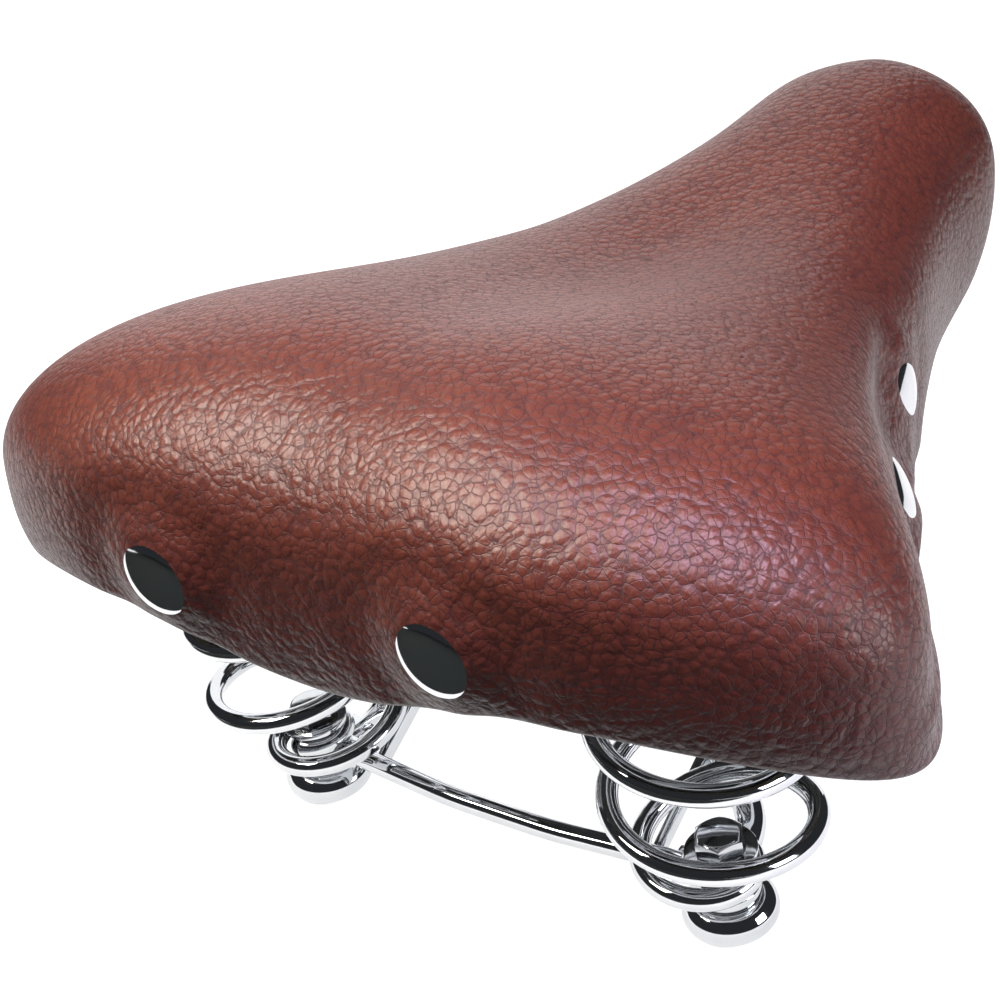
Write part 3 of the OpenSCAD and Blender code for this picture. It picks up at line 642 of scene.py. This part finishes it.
def press_rivets(grid, normals):
    """Dimples and radial puckers where the rivets draw the hide in, with a soft swell around."""
    moved = np.zeros(grid.shape[:2])
    for centre, normal in ALL_RIVETS:
        offset = grid - centre
        depth = offset @ normal
        flat = offset - depth[..., None] * normal
        r = np.linalg.norm(flat, axis=-1)
        near = np.abs(depth) < 14
        side = np.cross(normal, [0, 0, 1.0])
        side /= np.linalg.norm(side)
        turn = np.arctan2(flat[..., 2], flat @ side)
        dimple = -1.6 / (1 + np.exp((r - RIVET_R - 1.9) / 1.5))
        swell = 0.8 * np.exp(-(((r - RIVET_R - 9) / 5.5) ** 2))
        pucker = 0.22 * np.cos(9 * turn + 1.3 * np.sin(2 * turn)) * np.exp(-(((r - RIVET_R - 4.5) / 4.0) ** 2))
        moved += np.where(near, dimple + swell + pucker, 0)
    return grid + normals * moved[..., None]


def press_folds(grid, normals):
    """Long soft fold along each flank, from below the rear flank rivet back towards the corner."""
    u = len(EDGE) * np.arange(COLUMNS) / COLUMNS
    u = np.minimum(u, len(EDGE) - u)
    share = np.clip((u - FOLD_FROM) / (FOLD_TO - FOLD_FROM), 0, 1)
    window = np.sin(np.pi * share) ** 0.7
    height = FOLD_LOW + (FOLD_HIGH - FOLD_LOW) * share
    skirt = np.minimum(np.arange(len(grid)) / SKIRT_ROWS, 1.6)[:, None]
    groove = np.exp(-(((skirt - height) / 0.13) ** 2))
    ridge = 0.45 * np.exp(-(((skirt - height + 0.27) / 0.14) ** 2))
    return grid - normals * (FOLD_DEPTH * window * (groove - ridge))[..., None]


def settle(grid):
    """Cloth simulation of the cover: held at the crown, hem and rivets and blown out softly, so that
    the sides swell between their fastenings as hide over foam does. Returns how far points move, capped."""
    rows, count = grid.shape[:2]
    piece = from_faces("settling_cover", grid.reshape(-1, 3) * MM, ring_faces(rows, count))
    group = piece.vertex_groups.new(name="held")
    row = np.arange(rows)
    by_row = np.maximum(np.where(row < 2, 0.9, 0), np.clip((row - SKIRT_ROWS - 12) / 12, 0, 1))
    held = np.repeat(by_row[:, None], count, axis=1)
    for centre, _ in ALL_RIVETS:
        r = np.linalg.norm(grid - centre, axis=-1)
        held = np.maximum(held, np.clip((RIVET_R + 7.5 - r) / 5, 0, 1))
    for index, weight in enumerate(held.ravel()):
        if weight > 0:
            group.add([index], float(weight), "REPLACE")
    cloth = piece.modifiers.new("cloth", "CLOTH")
    cloth.settings.quality = 4
    cloth.settings.mass = 0.25
    cloth.settings.tension_stiffness = 12
    cloth.settings.compression_stiffness = 12
    cloth.settings.bending_stiffness = 2.5
    cloth.settings.use_pressure = True
    cloth.settings.uniform_pressure_force = 3
    cloth.settings.shrink_min = -0.012
    cloth.settings.vertex_group_mass = "held"
    cloth.settings.effector_weights.gravity = 0
    cloth.collision_settings.use_collision = False
    scene = bpy.context.scene
    for step in range(1, CLOTH_FRAMES + 1):
        scene.frame_set(step)
    graph = bpy.context.evaluated_depsgraph_get()
    done = piece.evaluated_get(graph)
    points = np.zeros(rows * count * 3, np.float32)
    done.data.vertices.foreach_get("co", points)
    moved = points.reshape(rows, count, 3) / MM - grid
    scene.frame_set(1)
    bpy.data.objects.remove(piece)
    size = np.linalg.norm(moved, axis=-1, keepdims=True)
    return moved * (CLOTH_CAP * np.tanh(size / CLOTH_CAP) / np.maximum(size, 1e-9))


def make_cover():
    grid = cover_grid()
    grid = grid + settle(grid)
    normals = row_normals(grid)
    grid = press_folds(press_rivets(grid, normals), normals)
    rows = len(grid)
    faces = ring_faces(rows, COLUMNS)
    piece = from_faces("cover_hide", [place(p) for p in grid.reshape(-1, 3)], faces)
    work = bmesh.new()
    work.from_mesh(piece.data)
    bmesh.ops.remove_doubles(work, verts=work.verts, dist=0.00005)
    rear, front = place((SPINE_REAR, 0, 0)).x, place((SPINE_FRONT, 0, 0)).x
    top = [
        v for v in work.verts
        if v.co.z > 0.06 and math.hypot(v.co.y, v.co.x - min(front, max(rear, v.co.x))) < CROWN_RELAX
    ]
    for _ in range(12):
        bmesh.ops.smooth_vert(work, verts=top, factor=0.5, use_axis_x=True, use_axis_y=True, use_axis_z=True)
    bmesh.ops.recalc_face_normals(work, faces=work.faces)
    work.to_mesh(piece.data)
    work.free()
    piece.data.materials.append(LEATHER)
    piece.data.materials.append(BACKING)
    shell = piece.modifiers.new("thickness", "SOLIDIFY")
    shell.thickness = COVER_T * MM
    shell.offset = -1
    shell.material_offset = 1
    shell.use_even_offset = False
    apply_modifiers(piece)
    soften = piece.modifiers.new("soften", "SUBSURF")
    soften.levels = soften.render_levels = 1
    apply_modifiers(piece)
    piece.data.polygons.foreach_set("use_smooth", [True] * len(piece.data.polygons))
    finish_piece(piece, "seat", None, ["cover"])
    return piece


make_cover()


# ---------------------------------------------------------------- rivets
def facing(centre, normal):
    """Matrix that stands a shape drawn along +Z on a place of the cover, along its normal."""
    turn = Vector(normal).to_track_quat("Z", "Y").to_matrix().to_4x4()
    return Matrix.Translation(place(centre)) @ turn


def rivet_profile(tail):
    """Flattened dome with a rolled rim, shank and upset tail: radius, height above the hide."""
    dome = []
    for k in range(22):
        r = RIVET_R * math.sin(math.pi / 2 * k / 21)
        dome.append((r, 2.6 * (1 - (r / RIVET_R) ** 2.7) ** 0.72 - 0.15))
    rim = [(RIVET_R + 0.02, -0.35), (RIVET_R - 0.12, -0.62), (RIVET_R - 0.5, -0.8), (RIVET_R - 1.4, -0.82)]
    shank = [(2.7, -0.82), (2.5, -1.1), (2.5, -tail + 0.9), (2.6, -tail + 0.75)]
    upset = [(4.0, -tail + 0.75), (4.25, -tail + 0.4), (4.2, -tail - 0.1), (3.7, -tail - 0.55), (2.4, -tail - 0.78)]
    return dome + rim + shank + upset + [(0, -tail - 0.8)]


def seat_depth(node, index):
    """Distance from the hide to the seat inside the base shell at a rivet."""
    u, z = RIVETS[node][index % len(RIVETS[node])]
    e = loop_curve(u)
    w = clamp01((z - e[2]) / e[3])
    direction = Vector((e[0] - spine(e[0]), e[1], 0)).normalized()
    normal = Vector(rivet_frames(node)[index % len(RIVETS[node])][1])
    level = Vector((normal.x, normal.y, 0)).normalized()
    to_wall = (FLANGE_INSET + SHELL_T - e[5] * (1 - w) ** 2) * direction.dot(level)
    return (to_wall + BACKING_R * abs(normal.z)) / normal.dot(level) + BOSS_MIN


def make_rivets(node):
    heads = []
    for index, (centre, normal) in enumerate(rivet_frames(node)):
        tail = seat_depth(node, index) + BACKING_T + 1.0
        heads.append(lathe("rivet", rivet_profile(tail), facing(centre, normal), 72))
    piece = joined(node + "_domed", heads)
    finish_piece(piece, "seat", CHROME, [node])


make_rivets("rear_rivets")
make_rivets("side_rivets")


# ---------------------------------------------------------------- springs
def foot_point(s, forward=0.0, inward=0.0):
    """A point at the left spring foot: s up its axis, then forward and inward, in millimetres."""
    co, si = math.cos(FOOT_LEAN), math.sin(FOOT_LEAN)
    return FOOT + Vector((forward * co - s * si, -inward, s * co + forward * si))


# Height of the wire's start up the foot's axis, then lengths along the wire in turns
COIL_S = 12.8
EYE_TURNS, SPIRAL_TURNS, PHASE = 0.6, 0.83, 0.13
RISE_FROM, RISE_EASE, END_TURNS, FLAT_TURNS, FLAT_EASE = 0.2, 0.55, 4.92, 0.45, 0.35
COIL_TOP_Z = PLATE_Z - 0.2 - WIRE_D / 2
COIL_BOTTOM_Z = FOOT.z + COIL_S * math.cos(FOOT_LEAN)
CLIMB_TURNS = END_TURNS - RISE_FROM - RISE_EASE / 2 - FLAT_TURNS - FLAT_EASE / 2
PITCH = (COIL_TOP_Z - COIL_BOTTOM_Z) / CLIMB_TURNS


def coil_point(t):
    """Centre of the left spring's wire after t turns, in millimetres."""
    q = clamp01(t / SPIRAL_TURNS)
    r = EYE_R + (COIL_R - EYE_R) * q * q * (3 - 2 * q)
    a = clamp01((t - RISE_FROM) / RISE_EASE)
    b = clamp01((t - (END_TURNS - FLAT_TURNS - FLAT_EASE)) / FLAT_EASE)
    steady = min(t, END_TURNS - FLAT_TURNS - FLAT_EASE) - RISE_FROM - RISE_EASE
    h = PITCH * (RISE_EASE * a * a / 2 + max(0.0, steady) + FLAT_EASE * (b - b * b / 2))
    lean = FOOT_LEAN * (1 - (h / (COIL_TOP_Z - COIL_BOTTOM_Z)) ** 3)
    turn = 2 * math.pi * (t + PHASE)
    x = FOOT.x - COIL_S * math.sin(FOOT_LEAN) - math.tan(FOOT_LEAN) * h
    across = r * math.cos(turn)
    return Vector((
        x + across * math.cos(lean),
        FOOT.y + r * math.sin(turn),
        COIL_BOTTOM_Z + h + across * math.sin(lean),
    ))


def make_spring(side, node):
    steps = 560
    turns = [-EYE_TURNS + (END_TURNS + EYE_TURNS) * k / steps for k in range(steps + 1)]
    path = []
    for t in turns:
        p = coil_point(t)
        path.append(place((p.x, side * p.y, p.z)))
    piece = sweep(node + "_wire", path, WIRE_D / 2 * MM, sides=28)
    piece.data.materials.append(CHROME)
    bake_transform(piece)
    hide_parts(node)
    return piece


make_spring(1, "spring_left")
make_spring(-1, "spring_right")


# ---------------------------------------------------------------- rails and cross bar
# Height up the foot's axis and thickness of each pressed eye, and the rounding of its edges
RAIL_EYE_S, RAIL_EYE_T = 4.3, 3.0
BAR_EYE_S, BAR_EYE_T = 7.6, 2.4
PRESSED_EDGE = 0.45


def foot_matrix(side, s=0.0):
    """Stands a shape drawn along +Z on the spring foot's axis, s millimetres up it."""
    p = foot_point(s)
    return Matrix.Translation(place((p.x, side * p.y, p.z))) @ Matrix.Rotation(-FOOT_LEAN, 4, "Y")


def pressed_eye(name, side, s, thick, heading, hole=3.1, disc=7.5, tongue=4.4, length=13.2):
    """Flattened wire end: a disc with a hole that runs out into a tongue, with soft pressed edges."""
    sides = 120
    f = PRESSED_EDGE
    points = []
    matrix = foot_matrix(side, s)
    for i in range(sides):
        phi = 2 * math.pi * i / sides
        delta = (phi - heading * -side + math.pi) % (2 * math.pi) - math.pi
        reach = disc
        if abs(delta) < math.pi / 2 - 0.01:
            slot_reach = min(tongue / max(abs(math.sin(delta)), 1e-6), length / math.cos(delta))
            reach = (disc ** 8 + slot_reach ** 8) ** (1 / 8) if slot_reach > disc * 0.8 else disc
            reach = min(reach, length / math.cos(delta))
        profile = [
            (hole, f), (hole + f * 0.3, f * 0.3), (hole + f, 0),
            (reach - f, 0), (reach - f * 0.3, f * 0.3), (reach, f),
            (reach, thick - f), (reach - f * 0.3, thick - f * 0.3), (reach - f, thick),
            (hole + f, thick), (hole + f * 0.3, thick - f * 0.3), (hole, thick - f),
        ]
        points += [matrix @ Vector((r * math.cos(phi) * MM, r * math.sin(phi) * MM, z * MM)) for r, z in profile]
    rows = len(profile)
    faces = []
    for i in range(sides):
        for k in range(rows):
            a, b = i * rows + k, i * rows + (k + 1) % rows
            c, d = ((i + 1) % sides) * rows + (k + 1) % rows, ((i + 1) % sides) * rows + k
            faces.append((a, b, c, d))
    piece = from_faces(name, points, faces)
    outward(piece)
    return piece


def flattened(reach_share, across, through):
    """(width, flat) functions for sweep: both ends pressed flat over reach_share of the length."""
    def share(t):
        q = clamp01(min(t, 1 - t) / reach_share)
        return q * q * (3 - 2 * q)
    return (lambda t: across + (1 - across) * share(t)), (lambda t: through + (1 - through) * share(t))


def mirrored(points):
    return [Vector((p[0], -p[1], p[2])) for p in reversed(points)]


def make_rails():
    eye_mid = foot_point(RAIL_EYE_S + RAIL_EYE_T / 2)
    low = foot_point(RAIL_EYE_S + RAIL_EYE_T / 2, 21, 5)
    start = eye_mid + (low - eye_mid).normalized() * 8.5
    left = [start, low, (91, RAIL_Y, RAIL_Z), (157, RAIL_Y, RAIL_Z), (HINGE.x, 14, HINGE.z)]
    path = [place(p) for p in bent(left + mirrored(left), RAIL_BEND)]
    width, flat = flattened(0.028, 1.2, 0.42)
    rail = sweep("rail", path, RAIL_D / 2 * MM, sides=36, width=width, flat=flat)
    heading = math.atan2(5, 21)
    eyes = [pressed_eye("eye", side, RAIL_EYE_S, RAIL_EYE_T, heading) for side in (1, -1)]
    piece = joined("seat_rails_wire", [rail, *eyes])
    finish_piece(piece, "frame", CHROME, ["seat_rails"])


def make_cross_bar():
    start = foot_point(BAR_EYE_S + BAR_EYE_T / 2, 0, 7)
    middle = Vector((*BAR_MIDDLE, start.z))
    path = [place(p) for p in bent([start, middle, *mirrored([start, middle])], BAR_BEND)]
    width, flat = flattened(0.09, 1.6, 0.47)
    bar = sweep("bar", path, BAR_D / 2 * MM, sides=32, width=width, flat=flat, up=(0, 0, 1))
    eyes = [pressed_eye("eye", side, BAR_EYE_S, BAR_EYE_T, math.pi / 2, tongue=3.9) for side in (1, -1)]
    piece = joined("cross_bar_wire", [bar, *eyes])
    finish_piece(piece, "frame", CHROME, ["cross_bar"])


make_rails()
make_cross_bar()


# ---------------------------------------------------------------- turned and hexagonal fasteners
def hexagon_head(name, matrix, flats, height, bore=0.0, base=0.0):
    """Hexagon with chamfered top corners. flats is the distance across them, in millimetres."""
    sides = 144
    chamfer = math.tan(math.radians(30))
    crown_r = flats / 2 * 0.94
    rows = []
    for i in range(sides):
        phi = 2 * math.pi * i / sides
        delta = (phi + math.pi / 6) % (math.pi / 3) - math.pi / 6
        reach = flats / 2 / math.cos(delta)
        drop = max(0.0, reach - crown_r) * chamfer
        low = [(reach - 0.35, base), (reach, base + 0.25)]
        top = [
            (reach, height - drop - 0.12), (reach - 0.12, height - drop),
            (crown_r, height - 0.04), (crown_r - 0.3, height),
        ]
        inside = [(bore + 0.35, height), (bore, height - 0.35), (bore, base + 0.35), (bore + 0.35, base)]
        profile = low + top + (inside if bore else [(0.3, height), (0.3, base)])
        rows.append([matrix @ Vector((r * math.cos(phi) * MM, r * math.sin(phi) * MM, z * MM)) for r, z in profile])
    count = len(rows[0])
    points = [p for row in rows for p in row]
    faces = []
    for i in range(sides):
        for k in range(count):
            if not bore and k == count - 2:
                continue
            a, b = i * count + k, i * count + (k + 1) % count
            c, d = ((i + 1) % sides) * count + (k + 1) % count, ((i + 1) % sides) * count + k
            faces.append((a, b, c, d))
    if not bore:
        faces.append(tuple(i * count + count - 2 for i in range(sides)))
        faces.append(tuple(i * count + count - 1 for i in reversed(range(sides))))
    piece = from_faces(name, points, faces, smooth=False)
    outward(piece)
    return crisp(piece)


def crisp(piece, angle=28):
    """Smooth shading that keeps edges sharper than angle."""
    piece.data.polygons.foreach_set("use_smooth", [True] * len(piece.data.polygons))
    work = bmesh.new()
    work.from_mesh(piece.data)
    for edge in work.edges:
        edge.smooth = len(edge.link_faces) == 2 and edge.calc_face_angle(0) < math.radians(angle)
    work.to_mesh(piece.data)
    work.free()
    return piece


def turned_ring(name, matrix, inner, outer, low, high, edge=0.25):
    profile = rounded([(inner, low), (outer, low), (outer, high), (inner, high)], edge, 3)
    return lathe(name, profile, matrix, 72)


def threaded(name, matrix, radius, low, high, pitch=1.0):
    """Bolt shank with a rolled thread near its end: rings whose radius follows the pitch."""
    rows = []
    count = max(8, int((high - low) / pitch * 4))
    for k in range(count + 1):
        z = low + (high - low) * k / count
        depth = 0.28 * (0.5 - 0.5 * math.cos(2 * math.pi * (z - low) / pitch))
        rows.append((radius - depth, z))
    return lathe(name, [(0, low - 0.4), (radius * 0.8, low - 0.3), *rows, (0, high)], matrix, 40)


def make_feet():
    """Bolts, washers, nuts and cups of the spring feet."""
    bolts, washers, nuts = [], [], []
    for side in (1, -1):
        base = foot_matrix(side)
        up = Matrix.Translation((0, 0, 17.05 * MM))
        bolts.append(hexagon_head("head", base @ up, 10.0, 4.3))
        bolts.append(threaded("shank", base, 3.0, -2.5, 17.2))
        washers.append(turned_ring("washer", base, 3.1, 8.0, 15.8, 17.0))
        nuts.append(hexagon_head("nut", base, 10.0, 1.8, bore=3.05, base=-2.4))
        profile = rounded([
            (3.1, 1.9), (3.1, 4.1), (8.1, 4.15), (9.5, 3.0), (10.55, 1.5), (10.8, 0), (10.62, -1.5),
            (9.9, -2.6), (9.1, -2.8), (8.4, -2.6), (8.4, 1.9),
        ], 1.1, 6)
        name = "spring_cup_left" if side > 0 else "spring_cup_right"
        cup = lathe(name + "_spun", profile, base, 128)
        finish_piece(crisp(cup, 40), "frame", CHROME, [name])
    for node, parts, material, slot in (
        ("foot_bolts", bolts, CHROME, "chrome"),
        ("foot_washers", washers, CHROME, "chrome"),
        ("foot_nuts", nuts, ZINC, "zinc_steel"),
    ):
        piece = joined(node + "_made", parts)
        finish_piece(crisp(piece, 30), "frame", material, [node])


make_feet()


# ---------------------------------------------------------------- remaining CAD parts, with eased edges
def eased(node, material, bevel=0.35, segments=2):
    """A copy of a CAD node with small rounded edges, standing for that node."""
    mesh = frame["nodes"][node].data.copy()
    mesh.materials.clear()
    piece = link(node + "_eased", mesh)
    work = bmesh.new()
    work.from_mesh(mesh)
    bmesh.ops.remove_doubles(work, verts=work.verts, dist=1e-6)
    bmesh.ops.dissolve_limit(
        work, angle_limit=math.radians(0.6), verts=work.verts, edges=work.edges, use_dissolve_boundaries=False)
    work.to_mesh(mesh)
    work.free()
    ease = piece.modifiers.new("ease", "BEVEL")
    ease.width = bevel * MM
    ease.segments = segments
    ease.limit_method = "ANGLE"
    ease.angle_limit = math.radians(38)
    ease.use_clamp_overlap = True
    ease.harden_normals = False
    apply_modifiers(piece)
    crisp(piece, 32)
    finish_piece(piece, BODY_OF[node], material, [node])
    return piece


for node in ("nose_plate", "nose_screws", "nose_nuts", "spring_strap_left", "spring_strap_right", "strap_bolts",
             "strap_nuts", "clamp_spacers", "clamp_washers", "rivet_washers"):
    eased(node, ZINC, bevel=0.25)
for node in ("nose_clip", "rail_braces", "clamp_band", "inner_plate_left", "inner_plate_right",
             "outer_plate_left", "outer_plate_right", "clamp_bolt", "clamp_nut"):
    eased(node, CHROME, bevel=0.4)
eased("base_shell", PLASTIC, bevel=0.8)


def soft_foam(node):
    """The foam with its edges rounded off, as moulded foam has."""
    mesh = frame["nodes"][node].data.copy()
    mesh.materials.clear()
    piece = link(node + "_moulded", mesh)
    remesh = piece.modifiers.new("remesh", "REMESH")
    remesh.mode = "VOXEL"
    remesh.voxel_size = 2.2 * MM
    relax = piece.modifiers.new("relax", "SMOOTH")
    relax.factor = 0.5
    relax.iterations = 3
    apply_modifiers(piece)
    piece.data.polygons.foreach_set("use_smooth", [True] * len(piece.data.polygons))
    finish_piece(piece, "seat", FOAM, [node])


soft_foam("foam_pad")
soft_foam("side_padding")


# ---------------------------------------------------------------- studio
FLOOR_Z = cad_low.z - 0.0004
scene = bpy.context.scene
scene.view_settings.view_transform = "Standard"


def make_floor():
    n = Nodes("floor_paper")
    tone = n.noise(3, detail=2)
    n.link(n.ramp(tone.outputs["Fac"], [(0.3, (0.30, 0.30, 0.30)), (0.7, (0.33, 0.33, 0.33))]),
           n.shader.inputs["Base Color"])
    n.set(Roughness=0.9, Specular_IOR_Level=0.1)
    n.shader.inputs["Emission Color"].default_value = (1, 1, 1, 1)
    n.shader.inputs["Emission Strength"].default_value = 0.95
    size = 6.0
    floor = from_faces(
        "floor", [(-size, -size, FLOOR_Z), (size, -size, FLOOR_Z), (size, size, FLOOR_Z), (-size, size, FLOOR_Z)],
        [(0, 1, 2, 3)])
    floor.data.materials.append(n.material)
    floor.visible_diffuse = floor.visible_glossy = False
    wall_r, sides = 5.5, 48
    around = [(wall_r * math.cos(2 * math.pi * i / sides), wall_r * math.sin(2 * math.pi * i / sides))
              for i in range(sides)]
    rows = [(*p, FLOOR_Z + h) for h in (-0.01, 6.0) for p in around]
    wall = from_faces("backdrop", rows, ring_faces(2, sides))
    wall.data.materials.append(n.material)
    wall.visible_diffuse = wall.visible_glossy = wall.visible_shadow = False


def card(name, centre, size, facing_point, colour, glow=0.0):
    """A card outside the picture that only the chrome sees."""
    paint = Nodes(name + "_paint")
    paint.set(Roughness=0.9, Specular_IOR_Level=0.1)
    paint.shader.inputs["Base Color"].default_value = (*colour, 1)
    paint.shader.inputs["Emission Color"].default_value = (1, 1, 1, 1)
    paint.shader.inputs["Emission Strength"].default_value = glow
    w, h = size[0] / 2, size[1] / 2
    sheet = from_faces(name, [(-w, -h, 0), (w, -h, 0), (w, h, 0), (-w, h, 0)], [(0, 1, 2, 3)])
    sheet.location = centre
    sheet.rotation_euler = (Vector(facing_point) - Vector(centre)).to_track_quat("Z", "Y").to_euler()
    sheet.data.materials.append(paint.material)
    sheet.visible_camera = False
    sheet.visible_diffuse = False
    sheet.visible_shadow = False


def softbox(name, centre, size, watts, aim=(0, 0, 0.04), tint=(1, 1, 1)):
    light = bpy.data.lights.new(name, "AREA")
    light.shape = "RECTANGLE"
    light.size, light.size_y = size
    light.energy = watts
    light.color = tint
    lamp = bpy.data.objects.new(name, light)
    lamp.location = centre
    lamp.rotation_euler = (Vector(centre) - Vector(aim)).to_track_quat("Z", "Y").to_euler()
    scene.collection.objects.link(lamp)


def make_world():
    """Dim room."""
    world = bpy.data.worlds.new("studio")
    world.use_nodes = True
    scene.world = world
    background = world.node_tree.nodes["Background"]
    background.inputs["Color"].default_value = (0.026, 0.028, 0.031, 1)
    background.inputs["Strength"].default_value = 1.0


CAMERA_AT = (-0.41122, -0.26760, 0.25205)
CAMERA_AZIMUTH, CAMERA_ELEVATION, CAMERA_ROLL = 38.66, -25.56, -5.76
CAMERA_LENS = 79.0


def make_camera():
    """Camera behind the saddle's right rear corner, looking forward and down."""
    data = bpy.data.cameras.new("camera")
    data.lens = CAMERA_LENS
    data.sensor_width = 36
    data.clip_start = 0.01
    camera = bpy.data.objects.new("camera", data)
    az, el = math.radians(CAMERA_AZIMUTH), math.radians(CAMERA_ELEVATION)
    look = Vector((math.cos(el) * math.cos(az), math.cos(el) * math.sin(az), math.sin(el)))
    turn = look.to_track_quat("-Z", "Y").to_matrix() @ Matrix.Rotation(math.radians(CAMERA_ROLL), 3, "Z")
    camera.matrix_world = Matrix.Translation(CAMERA_AT) @ turn.to_4x4()
    scene.collection.objects.link(camera)
    scene.camera = camera


make_floor()
make_world()
make_camera()
softbox("key", (-0.41, 0.25, 0.52), (0.26, 0.42), 6.2, aim=(-0.12, 0.03, 0.08), tint=(1.0, 0.94, 0.84))
softbox("overhead", (-0.28, -0.02, 0.62), (0.26, 0.34), 1.3, aim=(-0.08, 0, 0.08))
softbox("lilac", (-0.19, -0.27, 0.60), (0.18, 0.18), 3.6, aim=(-0.10, -0.07, 0.08), tint=(0.86, 0.70, 1.0))
softbox("flank", (0.02, -0.75, 0.25), (0.3, 0.3), 3.0, aim=(-0.05, -0.05, 0.05), tint=(0.95, 0.97, 1.0))
softbox("far", (0.75, 0.65, 0.50), (1.0, 0.55), 2.2)
card("dark_card", (-0.53, 0.05, FLOOR_Z + 0.002), (0.74, 0.90), (-0.53, 0.05, 1), (0.012, 0.015, 0.014))
card("white_sheet", (0.12, 0.03, FLOOR_Z + 0.001), (1.25, 1.20), (0.12, 0.03, 1), (0.3, 0.3, 0.3), glow=0.92)
card("pale_card", (0.75, 0.55, 0.06), (1.2, 0.30), (0, 0, 0.06), (0.8, 0.8, 0.8), glow=0.9)
